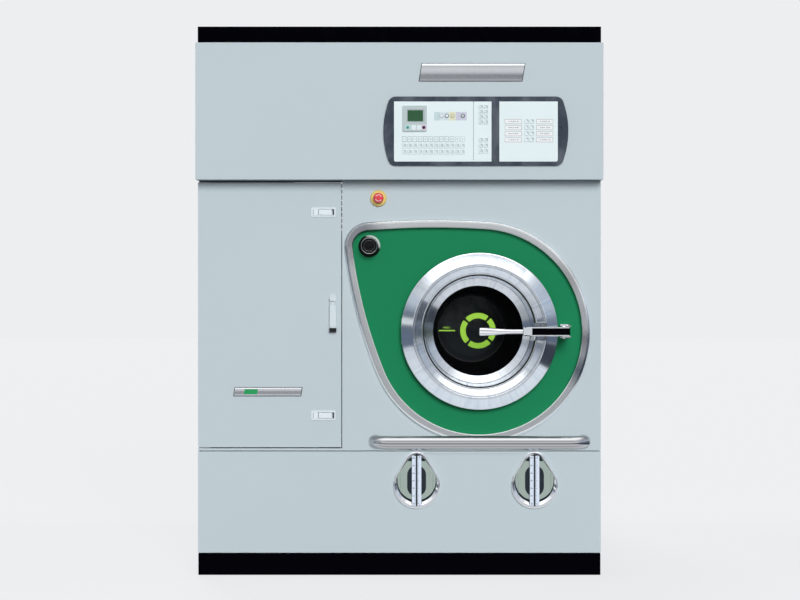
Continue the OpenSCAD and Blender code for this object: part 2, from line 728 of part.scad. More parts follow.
// Hub with its shaft and the cam tongue behind the door
module handle_hub() {
    hub_out = base_out + touch + 12;
    color(chrome) {
        difference() {
            union() {
                rod(handle_x, hub_z, handle_w / 2 - 0.5, [base_out + touch, hub_out]);
                slab([handle_x - 9, handle_x + 9], [hub_z - 20, hub_z], [base_out + touch, hub_out - 4]);
            }
            for (s = [-1, 1]) rod(handle_x, hub_z + s * 6, 2.6, [hub_out - 3, hub_out + cut]);
            slab([handle_x - 4.4, handle_x + 4.4], [hub_z - 25, hub_z - 10], [0, hub_out + cut]);
        }
        upright_x(lever_hinge_z, lever_hinge_u, lever_hinge_r, handle_x - 9, handle_x + 9);
        rod(handle_x, hub_z, 8, [-door_fold - 2, base_out + touch]);
        slab([handle_x - 12, split_x + 4 - cam_play], [hub_z - 11, hub_z + 11], [-door_fold - 4, -door_fold - 1.5]);
    }
}
cam_play = 4;                                  // the cam stops this short of the post
lever_hinge_z = hub_z - 15;
lever_hinge_u = base_out + touch + 4.5;
lever_hinge_r = 1.55;
module handle_lever() {
    tip_z = handle_z - handle_l / 2 + 14;
    u = base_out + touch;
    half = handle_w / 2 - 1.5;
    color(chrome) difference() {
        union() {
            slab([handle_x - 4, handle_x + 4], [lever_hinge_z - 12, lever_hinge_z + 3], [u + 1, u + 8]);
            slab([handle_x - half, handle_x + half], [tip_z + 6, hub_z - 22], [u, u + 11]);
            at(handle_x, tip_z + 12, u) linear_extrude(9) rounded(2 * half, 22, 5);
        }
        upright_x(lever_hinge_z, lever_hinge_u, lever_hinge_r + run_fit, handle_x - 20, handle_x + 20);
    }
}
// A cylinder along X
module upright_x(z, u, r, x0, x1) {
    translate([x0, panel_y - u, z]) rotate([0, 90, 0]) cylinder(r = r, h = x1 - x0);
}

// ---- emergency stop ------------------------------------------------------------------------
stop_x = split_x + 134;
stop_z = header_z - stop_below;
collar_out = 12;
stop_travel = 5;
stem_r = 8;
module estop_collar() {
    color("gold") {
        turned(stop_x, stop_z) polygon([[stem_r + run_fit, touch], [29.5, touch], [29.5, 6], [27, 9],
            [22, collar_out], [stem_r + run_fit, collar_out]]);
        turned(stop_x, stop_z) polygon([[stem_r + run_fit, -16], [10.5, -16], [10.5, touch],
            [stem_r + run_fit, touch]]);
    }
}
module estop_stem() {
    color(black) turned(stop_x, stop_z) polygon([[0, -20], [stem_r, -20], [stem_r, collar_out + stop_travel + 1],
        [5, collar_out + stop_travel + 1], [5, collar_out + stop_travel + 10], [0, collar_out + stop_travel + 10]]);
}
module estop_head() {
    u = collar_out + stop_travel + 1 + touch;
    color("#d8232a") turned(stop_x, stop_z) polygon([[5 + run_fit, u], [stop_r - 2, u], [stop_r, u + 2],
        [stop_r, u + 6], [stop_r * 0.92, u + 9], [stop_r * 0.7, u + 12], [stop_r * 0.4, u + 13.6],
        [0, u + 14.2], [0, u + 9.5], [5 + run_fit, u + 9.5]]);
}

// ---- controls ---------------------------------------------------------------------------------
bezel_x = door_x - 14.5;
bezel_z = header_z + 172;
bezel_u = header_proud;
plate_u = bezel_u + bezel_t;
key_u = plate_u + plate_t;
// Rounded rectangle whose short sides bow outwards
module bowed(w, h, bow, r) {
    n = 12;
    rise = h / 2 - r;
    function middle(t) = [w / 2 - bow * t * t - r, t * rise];
    function lean(t) = atan(2 * bow * t / rise);
    right = concat(arc(middle(-1), r, -90, lean(-1), 5),
        [for (i = [1:n - 1]) let (t = -1 + 2 * i / n) middle(t) + r * [cos(lean(t)), sin(lean(t))]],
        arc(middle(1), r, lean(1), 90, 5));
    left = [for (i = [len(right) - 1:-1:0]) [-right[i][0], right[i][1]]];
    polygon(concat(right, left));
}
key_plate_x = [bezel_x - 291.5, bezel_x + 55.5];
label_plate_x = [bezel_x + 83.5, bezel_x + 291.5];
key_pitch = 18.9;
key_x0 = key_plate_x[0] + 36;
button_z = bezel_z + 54;
button_dxs = [168.5, 188, 208.5, 245];
module control_bezel() {
    color(black) difference() {
        at(bezel_x, bezel_z, bezel_u) linear_extrude(bezel_t) bowed(bezel_w, bezel_h, bezel_bow, 28);
        for (dx = button_dxs) rod(key_plate_x[0] + dx, button_z, button_r + 1, [bezel_u + 1, plate_u + cut]);
    }
}
// Outline of a printed plate: its outer side follows the bezel's bow
module inset_plate(x) {
    intersection() {
        translate([x[0], -110]) square([x[1] - x[0], 215]);
        bowed(bezel_w - 42, bezel_h - 28, bezel_bow, 8);
    }
}
module key_plate() {
    x = [key_plate_x[0] - bezel_x, key_plate_x[1] - bezel_x];
    rows = [[-29, 20], [-54, 16], [-76, 14]];
    color("white") difference() {
        union() {
            at(bezel_x, bezel_z, plate_u) linear_extrude(plate_t) inset_plate(x);
            for (r = rows, i = [0:11]) at(key_x0 + i * key_pitch, bezel_z + r[0], key_u - 0.5)
                linear_extrude(1.5) rounded(key_pitch - 4, r[1], 2, 2);
            for (z = concat([for (i = [0:3]) 90 - i * 19], [for (i = [0:2]) -29 - i * 22.5]), j = [0, 1])
                at(key_plate_x[1] - 41 + j * 18, bezel_z + z, key_u - 0.5) linear_extrude(1.5) rounded(14, 14, 2, 2);
        }
        slab([key_plate_x[1] - 66, key_plate_x[1] - 65], [bezel_z - 120, bezel_z + 120], [key_u - 1, key_u + cut]);
        for (dx = button_dxs) rod(key_plate_x[0] + dx, button_z, button_r + run_fit, [plate_u - cut, key_u + 2]);
    }
}
module label_plate() {
    x = [label_plate_x[0] - bezel_x, label_plate_x[1] - bezel_x];
    color("white") union() {
        at(bezel_x, bezel_z, plate_u) linear_extrude(plate_t) inset_plate(x);
        for (i = [0:3]) at(label_plate_x[0] + 103, bezel_z + 34 - i * 21.7, key_u - 0.5)
            linear_extrude(1.5) rounded(30, 13, 3);
    }
}
module display() {
    x = key_plate_x[0] + 73.5;
    z = bezel_z + 44;
    color(black) difference() {
        at(x, z, key_u + touch) linear_extrude(4) rounded(87, 92, 4);
        at(x + 1, z + 10, key_u + 2.5) linear_extrude(4) rounded(57, 40, 2);
    }
}
module push_button(i) {
    color(["white", "gold", "#b79ad6", "white"][i]) at(key_plate_x[0] + button_dxs[i], button_z, bezel_u + 4)
        cylinder(r = button_r, h = bezel_t - 4 + plate_t + 3.5);
}
module button_1() { push_button(0); }
module button_2() { push_button(1); }
module button_3() { push_button(2); }
module button_4() { push_button(3); }

// ---- front rail and gauges ------------------------------------------------------------------------
rail_z = seam_z + rail_rise;
module front_rail() {
    bend = 50;
    leg = rail_out - bend;
    r = rail_d / 2;
    x0 = door_x - rail_l / 2 + r;
    x1 = door_x + rail_l / 2 - r;
    color(chrome) translate([0, panel_y, rail_z]) {
        translate([x0 + bend, -rail_out, 0]) rotate([0, 90, 0]) cylinder(r = r, h = x1 - x0 - 2 * bend);
        translate([x0 + bend, -leg, 0]) rotate([0, 0, 180]) rotate_extrude(angle = 90) translate([bend, 0]) circle(r = r);
        translate([x1 - bend, -leg, 0]) rotate([0, 0, 270]) rotate_extrude(angle = 90) translate([bend, 0]) circle(r = r);
        for (x = [x0, x1]) translate([x, -touch, 0]) rotate([90, 0, 0]) cylinder(r = r, h = leg - touch);
    }
}
gauge_xs = [door_x - gauge_dx, door_x - gauge_dx + gauge_pitch];
gauge_z = lower_z + 243;
gauge_neck = 101;
neck_tip_r = 22;
module gauge_shape(x, s) {
    wrap([x, gauge_z], gauge_r + s, [x, gauge_z + gauge_neck], neck_tip_r + s, 48, 12);
}
module gauge_bezels() {
    color(chrome) for (x = gauge_xs) difference() {
        union() {
            plate(touch, 6) gauge_shape(x, 0);
            plate(5, 8) gauge_shape(x, -2);
            plate(7, 10) gauge_shape(x, -5);
        }
        plate(-cut, 14) gauge_shape(x, -13);
        plate(7, 14) gauge_shape(x, -10);
    }
}
window = [70, 112];
scale_u = 10 + touch;                          // the scales stand on the bezel
module gauge_plates() {
    color("#9fb0a8") for (x = gauge_xs) difference() {
        plate(-3, 0) intersection() {
            gauge_shape(x, -10.5);
            translate([0, 6]) gauge_shape(x, -10.5);
            translate([x - gauge_r, gauge_z - gauge_r]) square([2 * gauge_r, gauge_r + 93]);
        }
        plate(-5, 5) translate([x, gauge_z + 16]) stadium(window[0], window[1]);
    }
}
module gauge_glass() {
    color("#202a33") for (x = gauge_xs) {
        plate(-3, -1) translate([x, gauge_z + 16]) stadium(window[0] - 2 * touch, window[1] - 2 * touch);
        upright(x, scale_u + 1, 2.7, [gauge_z - 72, gauge_z + 107]);
    }
}
module gauge_scales() {
    color("white") for (x = gauge_xs, s = [-1, 1]) {
        slab(s > 0 ? [x + 3, x + 17] : [x - 17, x - 3], [gauge_z - 72, gauge_z + 107], [scale_u, scale_u + 2]);
    }
}

// ---- drum, tub and drive -----------------------------------------------------------------------------
drum_front = -glass_u - glass_t - 17;          // behind the dish of the door
neck_u = drum_front + 12;                      // front wall of the tub
drum_back = drum_front - drum_l;
tub_back = drum_back - 18;
bearing_end = tub_back - 175;
pulley_u = [bearing_end - 70, bearing_end - 70 + belt_w + 5];
motor_x = hw - 185;
motor_z = 330;
module tub() {
    r = drum_r + drum_gap;
    color(stainless) turned(door_x, door_z) polygon([[mouth_r, -20], [mouth_r + 11, 0], [mouth_r + 42, 0],
        [mouth_r + 42, -3], [mouth_r + 13, -3], [mouth_r + 3, -21], [mouth_r + 3, neck_u], [r + drum_t, neck_u], [r + drum_t, tub_back - 5],
        [shaft_r + 10, tub_back - 5], [shaft_r + 10, tub_back], [r, tub_back], [r, neck_u - 4],
        [mouth_r, neck_u - 4]]);
}
// Section of a folded drum rib, or of the hollow inside it
module drum_rib(in) {
    foot = drum_r - drum_t;
    tip = foot - rib_h + in;
    polygon([[tip, -10], [tip + 6, -17 + in * 0.6], [foot - 12, -38 + in], [foot + 0.5, -44 + 2 * in],
        [foot + 0.5, 44 - 2 * in], [foot - 12, 38 - in], [tip + 6, 17 - in * 0.6], [tip, 10]]);
}
module drum() {
    d = drum_t;
    color(stainless) {
        turned(door_x, door_z) polygon([[mouth_r + 6, drum_front], [drum_r, drum_front], [drum_r, drum_back],
            [60, drum_back], [60, drum_back - 12], [0, drum_back - 12], [0, drum_back + 26],
            [60, drum_back + 26], [110, drum_back + 18], [135, drum_back + d], [drum_r - d, drum_back + d],
            [drum_r - d, drum_front - d], [mouth_r + 12, drum_front - d], [mouth_r + 10, drum_front - 12],
            [mouth_r + 6, drum_front - 12]]);
        for (i = [0:2]) at(door_x, door_z, drum_back + d + cut) rotate([0, 0, 30 + i * 120])
            linear_extrude(drum_l - 2 * d - 2 * cut) difference() { drum_rib(0); drum_rib(d); }
    }
}
module drum_pulley() {
    hub = 70;
    color(metal) {
        rod(door_x, door_z, shaft_r, [pulley_u[0] - 10, drum_back - 12]);
        rod(door_x, door_z, hub, [pulley_u[0] - 6, bearing_end - 4]);
        difference() {
            rod(door_x, door_z, pulley_r, pulley_u);
            rod(door_x, door_z, pulley_r - 14, [pulley_u[0] - cut, pulley_u[1] + cut]);
        }
        for (i = [0:4]) at(door_x, door_z, pulley_u[0] + 8) rotate([0, 0, i * 72])
            translate([hub - 5, -18, 0]) cube([pulley_r - hub - 5, 36, belt_w - 12]);
    }
}
module bearing_housing() {
    color(metal) {
        turned(door_x, door_z) polygon([[shaft_r + run_fit, tub_back - 5 - touch], [150, tub_back - 5 - touch],
            [150, tub_back - 24], [92, tub_back - 30], [84, bearing_end + 4], [80, bearing_end],
            [shaft_r + run_fit, bearing_end]]);
        for (i = [0:5]) at(door_x, door_z) rotate([0, 0, 30 + i * 60]) rotate([90, 0, 0])
            translate([0, 0, -6]) linear_extrude(12) polygon([[82, tub_back - 20], [144, tub_back - 20],
                [144, tub_back - 30], [88, bearing_end + 20], [82, bearing_end + 20]]);
    }
}
module belt_line(s) {
    wrap([door_x, door_z], pulley_r + s, [motor_x, motor_z], motor_pulley_r + s, 96, 32);
}
module drive_belt() {
    color(black) plate(pulley_u[0] + 2.5, pulley_u[1] - 2.5) difference() { belt_line(8); belt_line(touch); }
}
motor_r = 105;
motor_front = pulley_u[0] - 30;
motor_l = 300;
// Outline of the finned motor body
motor_fins = [for (i = [0:23], k = [-1.5, -0.5, 0.5, 1.5]) let (a = 15 * i + (abs(k) > 1 ? 3 * k : 2.4 * k))
    (abs(k) > 1 ? motor_r - 14 : motor_r - 2) * [cos(a), sin(a)]];
module drive_motor() {
    back = motor_front - motor_l;
    color("#3b5a78") difference() {
        union() {
            at(motor_x, motor_z, back + 59) linear_extrude(motor_l - 84) polygon(motor_fins);
            rod(motor_x, motor_z, motor_r - 6, [motor_front - 26, motor_front]);
            rod(motor_x, motor_z, motor_r, [back, back + 60]);
            slab([motor_x - 45, motor_x + 45], [motor_z + motor_r - 20, motor_z + motor_r + 35], [back + 110, back + 200]);
            slab([motor_x - 90, motor_x + 90], [tray_t + touch, tray_t + 14], [back + 60, motor_front - 40]);
            for (s = [-1, 1]) slab([motor_x + s * 70 - 8, motor_x + s * 70 + 8],
                [tray_t + 10, motor_z - 60], [back + 70, motor_front - 50]);
        }
        rod(motor_x, motor_z, 19 + run_fit, [motor_front - 60, motor_front + cut]);
    }
}
module motor_pulley() {
    color(metal) {
        rod(motor_x, motor_z, 19, [motor_front - 55, pulley_u[1] + 4]);
        rod(motor_x, motor_z, motor_pulley_r, pulley_u);
        for (u = [pulley_u[0] - 2, pulley_u[1] - 2]) rod(motor_x, motor_z, motor_pulley_r + 14, [u, u + 4]);
    }
}

// ---- inside: tanks, still, filter, fan, pump ---------------------------------------------------------------
tank_u = [-600, -45];
tank_xs = [[-hw + 60, split_x - 60], [gauge_xs[0] - 150, gauge_xs[0] + 200], [gauge_xs[1] - 200, hw - 60]];
module tank(x, sight) {
    t = drum_t;
    color(stainless) difference() {
        slab(x, [tray_t + touch, tank_top], tank_u);
        slab([x[0] + t, x[1] - t], [tray_t + touch + t, tank_top - t], [tank_u[0] + t, tank_u[1] - t]);
        upright((x[0] + x[1]) / 2, -480, 60, [tank_top - 20, tank_top + cut]);
        if (sight > 0) plate(tank_u[1] - 10, tank_u[1] + 10)
            translate([gauge_xs[sight - 1], gauge_z + 16]) stadium(window[0], window[1]);
    }
}
module solvent_tanks() { for (i = [0:2]) tank(tank_xs[i], i); }

filter_r = 80;
filter_rim = 12;
bay_gap = 14;                                  // gap beside the still and the filter
filter_x = split_x - 75;
still_rim = 14;
still_r = (filter_x - filter_r - filter_rim + hw - 2 * bay_gap) / 2 - still_rim;
still_x = -hw + bay_gap + still_r + still_rim;
still_u = -345;
leg_angles = [90, 210, 330];
module still() {
    leg = tank_top + touch;
    z0 = leg + 70;
    color(stainless) {
        translate([still_x, panel_y - still_u, z0]) rotate_extrude($fn = 96) polygon([[0, 0], [60, 0], [still_r - 20, 40],
            [still_r, 90], [still_r, 470], [still_r + still_rim, 470], [still_r + still_rim, 494], [still_r, 494],
            [still_r - 12, 530], [still_r - 60, 575], [70, 600], [70, 760], [66, 760], [66, 597],
            [still_r - 64, 571], [still_r - 16, 528], [still_r - 4, 492], [still_r - 4, 92],
            [still_r - 22, 44], [59, 4], [0, 4]]);
        for (a = leg_angles) translate([still_x, panel_y - still_u, 0]) rotate([0, 0, a])
            translate([still_r - 62, -15, leg]) cube([20, 30, 120]);
        difference() {
            rod(still_x, z0 + 250, 85, [still_u + still_r - 40, still_u + still_r + 12]);
            upright(still_x, still_u, still_r - 2, [z0 + 100, z0 + 400]);
        }
        rod(still_x, z0 + 250, 100, [still_u + still_r + 12, still_u + still_r + 24]);
    }
}
filter_u = -330;
module filter_housing() {
    leg = tank_top + touch;
    z0 = leg + 60;
    r = filter_r;
    color(metal) {
        translate([filter_x, panel_y - filter_u, z0]) rotate_extrude($fn = 96) polygon([[0, 0], [r - 20, 12], [r, 50],
            [r, 560], [r + filter_rim, 560], [r + filter_rim, 590], [r, 590], [r - 14, 622], [30, 650], [30, 672], [26, 672],
            [26, 646], [r - 18, 619], [r - 4, 588], [r - 4, 52], [r - 23, 16], [0, 4]]);
        for (a = leg_angles) translate([filter_x, panel_y - filter_u, 0]) rotate([0, 0, a])
            translate([r - 26, -10, leg]) cube([16, 20, 110]);
        for (i = [0:7]) translate([filter_x, panel_y - filter_u, z0 + 552]) rotate([0, 0, i * 45])
            translate([r + 6, 0, 0]) cylinder(r = 4.5, h = 48, $fn = 24);
    }
}

fan_x = door_x;
fan_z = door_z + drum_r + 345;
fan_u = [-540, -400];
fan_r = 140;
function scroll(s) = [for (i = [0:48]) let (a = 90 + i * 7.5, r = fan_r + 22 + i * 1.45 + s)
    [fan_x + r * cos(a), fan_z + r * sin(a)]];
module scroll_shape(s) {
    end = fan_r + 22 + 48 * 1.45 + s;
    union() {
        polygon(scroll(s));
        translate([fan_x, fan_z + end - 110 - 2 * s]) square([260, 110 + 2 * s]);
    }
}
module fan_housing() {
    t = drum_t;
    base_z = door_z + drum_r - 30;
    color(metal) {
        difference() {
            plate(fan_u[0], fan_u[1]) scroll_shape(0);
            plate(fan_u[0] + t, fan_u[1] - t) scroll_shape(-t);
            rod(fan_x, fan_z, fan_r - 35, [fan_u[1] - 10, fan_u[1] + cut]);
            rod(fan_x, fan_z, 12 + run_fit, [fan_u[0] - cut, fan_u[0] + 10]);
            slab([fan_x + 200, fan_x + 261], [fan_z, fan_z + 400], [fan_u[0] + t, fan_u[1] - t]);
        }
        difference() {
            slab([door_x - 190, door_x + 190], [base_z, fan_z - fan_r - 48], [-600, -330]);
            rod(door_x, door_z, drum_r + drum_gap + drum_t + touch, [-601, -329]);
            slab([door_x - 187, door_x + 187], [base_z - 10, fan_z - fan_r - 51], [-597, -333]);
        }
        difference() {
            union() {
                rod(fan_x, fan_z, 85, [fan_u[0] - 190, fan_u[0] - 20]);
                rod(fan_x, fan_z, 60, [fan_u[0] - 21, fan_u[0]]);
            }
            rod(fan_x, fan_z, 12 + run_fit, [fan_u[0] - 60, fan_u[0] + cut]);
        }
    }
}
module fan_wheel() {
    u = [fan_u[0] + 20, fan_u[1] - 25];
    color(metal) {
        rod(fan_x, fan_z, 12, [fan_u[0] - 55, u[0] + 30]);
        rod(fan_x, fan_z, fan_r, [u[0], u[0] + 4]);
        rod(fan_x, fan_z, 30, [u[0], u[0] + 30]);
        difference() {
            rod(fan_x, fan_z, fan_r, [u[1] - 4, u[1]]);
            rod(fan_x, fan_z, fan_r - 30, [u[1] - 5, u[1] + cut]);
        }
        for (i = [0:23]) at(fan_x, fan_z, u[0] + 3) rotate([0, 0, i * 15])
            translate([fan_r - 27, -1.2, 0]) rotate([0, 0, 18]) cube([26, 2.4, u[1] - u[0] - 6]);
    }
}

module compressor() {
    x = -hw + 260;
    u = -980;
    color(black) {
        translate([x, panel_y - u, tray_t + touch + 10]) rotate_extrude($fn = 96) polygon([[0, 0], [70, 6], [112, 30],
            [125, 70], [125, 170], [130, 172], [130, 184], [125, 186], [125, 260], [110, 310], [70, 334], [14, 341],
            [14, 380], [10, 380], [10, 300], [60, 290], [90, 260], [90, 80], [0, 80]]);
        for (a = [45:90:315]) translate([x, panel_y - u, tray_t + touch]) rotate([0, 0, a]) {
            translate([80, -18, 22]) cube([85, 36, 6]);
            translate([150, 0, 0]) cylinder(r = 14, h = 23);
        }
    }
}
module solvent_pump() {
    x = door_x - 330;
    u = -760;
    z = tray_t + 130;
    color("#3b5a78") {
        rod(x, z, 62, [u - 240, u - 40]);
        rod(x, z, 84, [u - 41, u + 20]);
        rod(x, z, 28, [u + 19, u + 60]);
        slab([x + 36, x + 76], [z, z + 130], [u - 30, u + 10]);
        slab([x - 60, x + 60], [tray_t + touch, tray_t + 12], [u - 230, u + 10]);
        for (v = [u - 210, u - 20]) slab([x - 40, x + 40], [tray_t + 10, z - 30], [v - 10, v + 10]);
    }
}

// ---- service connections at the rear ---------------------------------------------------------------------------
// Each port: x, z, radius, wall
ports = [[-hw + 180, 240, water_r, 3.5], [-hw + 260, 240, water_r, 3.5], [-hw + 340, 240, air_r, 2.5],
    [-hw + 420, 240, 11, 3], [hw - 220, 1690, vent_r, 2]];
module connections() {
    u1 = -body_d;
    color(metal) for (p = ports) {
        flange = p[2] < 20 ? 10 : 16;
        difference() {
            union() {
                rod(p[0], p[1], p[2], [u1 - rear_reach, u1]);
                rod(p[0], p[1], p[2] + flange, [u1 + sheet + touch, u1 + sheet + 8]);
                rod(p[0], p[1], p[2] + 1.5, [u1, u1 + sheet + 30]);
            }
            rod(p[0], p[1], p[2] - p[3], [u1 - rear_reach - cut, u1 + sheet + 31]);
        }
    }
}

base_tray();
frame();
side_panel_left();
side_panel_right();
rear_panel();
top_cover();
header_panel();
front_panel();
lower_panel();
trim_frame();
green_panel();
control_bezel();
key_plate();
label_plate();
display();
front_rail();
gauge_bezels();
gauge_plates();
gauge_glass();
gauge_scales();
filler_neck();
hinge_fixings();
door_keeper();
estop_collar();
tub();
bearing_housing();
drive_motor();
drive_belt();
solvent_tanks();
still();
filter_housing();
fan_housing();
compressor();
solvent_pump();
connections();
door_ring();
door_glass();
door_gasket();
door_hinge_leaf();
lever_bracket();
lever_arm();
lever_grip();
service_door();
latch_housings();
handle_base();
handle_hub();
handle_lever();
latch_paddle_top();
latch_paddle_bottom();
estop_stem();
estop_head();
button_1();
button_2();
button_3();
button_4();
filler_cap();
drum();
drum_pulley();
motor_pulley();
fan_wheel();
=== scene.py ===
import bmesh
import bpy
import math
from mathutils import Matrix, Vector


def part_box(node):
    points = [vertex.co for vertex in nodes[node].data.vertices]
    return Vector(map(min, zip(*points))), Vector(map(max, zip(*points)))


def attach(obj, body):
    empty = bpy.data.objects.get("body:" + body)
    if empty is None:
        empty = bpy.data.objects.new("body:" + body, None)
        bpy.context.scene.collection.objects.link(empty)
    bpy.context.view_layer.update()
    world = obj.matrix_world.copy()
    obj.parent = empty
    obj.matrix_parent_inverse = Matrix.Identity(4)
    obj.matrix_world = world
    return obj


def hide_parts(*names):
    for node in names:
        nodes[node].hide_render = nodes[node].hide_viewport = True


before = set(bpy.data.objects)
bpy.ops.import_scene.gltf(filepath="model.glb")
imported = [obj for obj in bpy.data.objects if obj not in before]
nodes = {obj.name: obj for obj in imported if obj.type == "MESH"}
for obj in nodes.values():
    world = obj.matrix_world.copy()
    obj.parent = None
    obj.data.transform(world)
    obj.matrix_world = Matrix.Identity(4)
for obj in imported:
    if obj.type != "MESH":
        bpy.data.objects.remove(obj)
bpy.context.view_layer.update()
print("packed model loaded:", len(nodes), "nodes")

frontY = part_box("lower_panel")[0][1]  # plane of the front panels
mm = 0.001
inkThick = 0.12  # of a printed mark, in millimetres
finishes = {}  # finishes by name
socketOf = {"base": "Base Color", "metallic": "Metallic", "roughness": "Roughness", "normal": "Normal",
            "coat": "Coat Weight", "coatRoughness": "Coat Roughness", "alpha": "Alpha", "glow": "Emission Color",
            "glowStrength": "Emission Strength", "specular": "Specular IOR Level", "anisotropy": "Anisotropic",
            "grainTurn": "Anisotropic Rotation"}


def place(x, z, u=0):  # right, up and out of the front, in millimetres
    return Vector((x * mm, frontY - u * mm, z * mm))


class Wire:
    # one output of a shader tree; arithmetic on it adds Math nodes
    def __init__(self, finish, socket):
        self.finish = finish
        self.socket = socket

    def math(self, operation, first, second=None):
        values = {0: first} if second is None else {0: first, 1: second}
        return self.finish.node("Math", {"operation": operation}, values)

    def __add__(self, other): return self.math("ADD", self, other)
    def __radd__(self, other): return self.math("ADD", other, self)
    def __sub__(self, other): return self.math("SUBTRACT", self, other)
    def __rsub__(self, other): return self.math("SUBTRACT", other, self)
    def __mul__(self, other): return self.math("MULTIPLY", self, other)
    def __truediv__(self, other): return self.math("DIVIDE", self, other)
    def __abs__(self): return self.math("ABSOLUTE", self)
    def __lt__(self, other): return self.math("LESS_THAN", self, other)
    def __gt__(self, other): return self.math("GREATER_THAN", self, other)

    def atLeast(self, other): return self.math("MAXIMUM", self, other)
    def root(self): return self.math("SQRT", self)
    def whole(self): return self.math("FLOOR", self)
    def wrap(self, period): return self.math("FLOORED_MODULO", self, period)
    def length(self, other): return (self * self + other * other).root()
    def turn(self, across): return self.math("ARCTAN2", self, across) / math.pi  # in half turns

    def ease(self, low, high, fromValue=0, toValue=1):
        return self.finish.node("MapRange", {"interpolation_type": "SMOOTHSTEP"}, {
            "Value": self, "From Min": low, "From Max": high, "To Min": fromValue, "To Max": toValue})


class Finish:
    # a material under construction
    def __init__(self, name, tree=None):
        self.name = name
        self.outputKind = "ShaderNodeOutputWorld" if tree else "ShaderNodeOutputMaterial"
        if tree is None:
            self.material = bpy.data.materials.new(name)
            self.material.use_nodes = True
            tree = self.material.node_tree
        self.tree = tree
        tree.nodes.clear()

    def node(self, kind, settings=None, sockets=None, output=0):
        made = self.tree.nodes.new("ShaderNode" + kind)
        for key, value in (settings or {}).items():
            if key == "stops":
                ramp = made.color_ramp
                while len(ramp.elements) < len(value):
                    ramp.elements.new(0.5)
                for element, (position, colour) in zip(ramp.elements, value):
                    element.position = position
                    element.color = (*colour, 1)
            else:
                setattr(made, key, value)
        for key, value in (sockets or {}).items():
            socket = made.inputs[key]
            if isinstance(value, Wire):
                self.tree.links.new(value.socket, socket)
            else:
                socket.default_value = value
        return Wire(self, made.outputs[output])

    def point(self, output=3):  # object coordinates in metres, split
        spot = self.node("TexCoord", output=output)
        return [self.node("SeparateXYZ", sockets={0: spot}, output=i) for i in range(3)]

    def combine(self, *parts):
        return self.node("CombineXYZ", sockets=dict(enumerate(parts)))

    def noise(self, scale, detail=3, stretch=None, roughness=0.55, at=None):
        spot = at or self.node("TexCoord", output=3)
        if stretch:
            spot = self.node("Mapping", sockets={0: spot, "Scale": stretch})
        return self.node("TexNoise", sockets={"Vector": spot, "Scale": scale, "Detail": detail,
                                              "Roughness": roughness})

    def colour(self, value):
        return value if isinstance(value, Wire) else (*value, 1)

    def mix(self, amount, first, second):
        inputs = {0: amount, 6: self.colour(first), 7: self.colour(second)}
        return self.node("Mix", {"data_type": "RGBA"}, inputs, output=2)

    def ramp(self, factor, stops):
        return self.node("ValToRGB", {"stops": stops}, {0: factor})

    def bump(self, height, strength, distance):
        return self.node("Bump", sockets={"Height": height, "Strength": strength, "Distance": distance})

    def surface(self, **values):
        sockets = {socketOf[key]: self.colour(value) if key in ("base", "glow") else value
                   for key, value in values.items()}
        self.finishWith(self.node("BsdfPrincipled", sockets=sockets))
        finishes[self.name] = self.material

    def polished(self, base, roughness):
        self.surface(base=base, metallic=1, roughness=roughness, normal=self.bump(self.noise(240), 0.012, 0.0004))

    def finishWith(self, shader):
        self.tree.links.new(shader.socket, self.tree.nodes.new(self.outputKind).inputs[0])


doorAxis = (287, 878)  # right and up
doorCentre = place(*doorAxis)
filler = {"x": -108, "z": 1184, "ribs": 18}
paleTone = (0.847, 0.855, 0.871)  # background and floor


def shade(base, factor, lift=0):
    return [c * factor + lift for c in base]


def sheetPaint(name, base, roughness=0.42, coat=0.06, specular=0.28):
    # sprayed sheet metal: fine orange peel, a faint drift of tone and light handling marks
    f = Finish(name)
    drift, marks = f.noise(1.7, 2), f.noise(38, 6, roughness=0.7).ease(0.52, 0.78)
    f.surface(base=f.mix(drift * 0.5 + marks * 0.12, shade(base, 0.955), shade(base, 1.035)), coat=coat,
        roughness=roughness + marks * 0.1 - drift * 0.03, coatRoughness=0.18, specular=specular,
        normal=f.bump(f.noise(900, 2), 0.045, 0.0004))


def brightChrome(name, base, low):
    f = Finish(name)
    f.polished(base, low + f.noise(26, 5, roughness=0.65).ease(0.35, 0.85) * 0.1)


def brushedSteel(name, base, stretch, low=0.26):
    f = Finish(name)
    grain = f.noise(6, 5, stretch=stretch, roughness=0.6)
    f.surface(base=f.mix(f.noise(3) * 0.7, base, shade(base, 0.82)), metallic=1,
        roughness=low + grain * 0.16, normal=f.bump(grain, 0.07, 0.0005))


def mouldedPlastic(name, base, roughness, grain=0.02, coat=0, specular=0.3):
    f = Finish(name)
    tone = f.noise(6)
    f.surface(base=f.mix(tone * 0.6, base, shade(base, 0.9)), roughness=roughness + tone * 0.07,
        coat=coat, specular=specular, normal=f.bump(f.noise(1100, 2), grain, 0.0003))


sheetPaint("cabinetPaint", (0.526, 0.606, 0.642))
sheetPaint("greenPaint", (0.0125, 0.213, 0.088), 0.46, 0.02, 0.1)
sheetPaint("framePaint", (0.3, 0.32, 0.34), 0.45, 0)
sheetPaint("machineEnamel", (0.035, 0.1, 0.17), 0.35, 0.2)
brightChrome("brightChrome", (0.86, 0.865, 0.88), 0.045)
brightChrome("capSteel", (0.52, 0.54, 0.52), 0.12)
brushedSteel("brushedSteel", (0.6, 0.61, 0.62), (3, 260, 260))
brushedSteel("brushedUpright", (0.6, 0.61, 0.62), (260, 260, 3))
brushedSteel("barSteel", (0.74, 0.76, 0.78), (3, 200, 200), 0.16)

# black enamel, dusty
base = (0.0002, 0.0002, 0.0012)
f = Finish("blackEnamel")
dust = f.noise(22, 5, roughness=0.7).ease(0.45, 0.8)
f.surface(base=f.mix(dust * 0.35, base, shade(base, 2.2, 0.002)), specular=0.02,
    roughness=0.62 + dust * 0.16, normal=f.bump(f.noise(700, 2), 0.06, 0.0004))

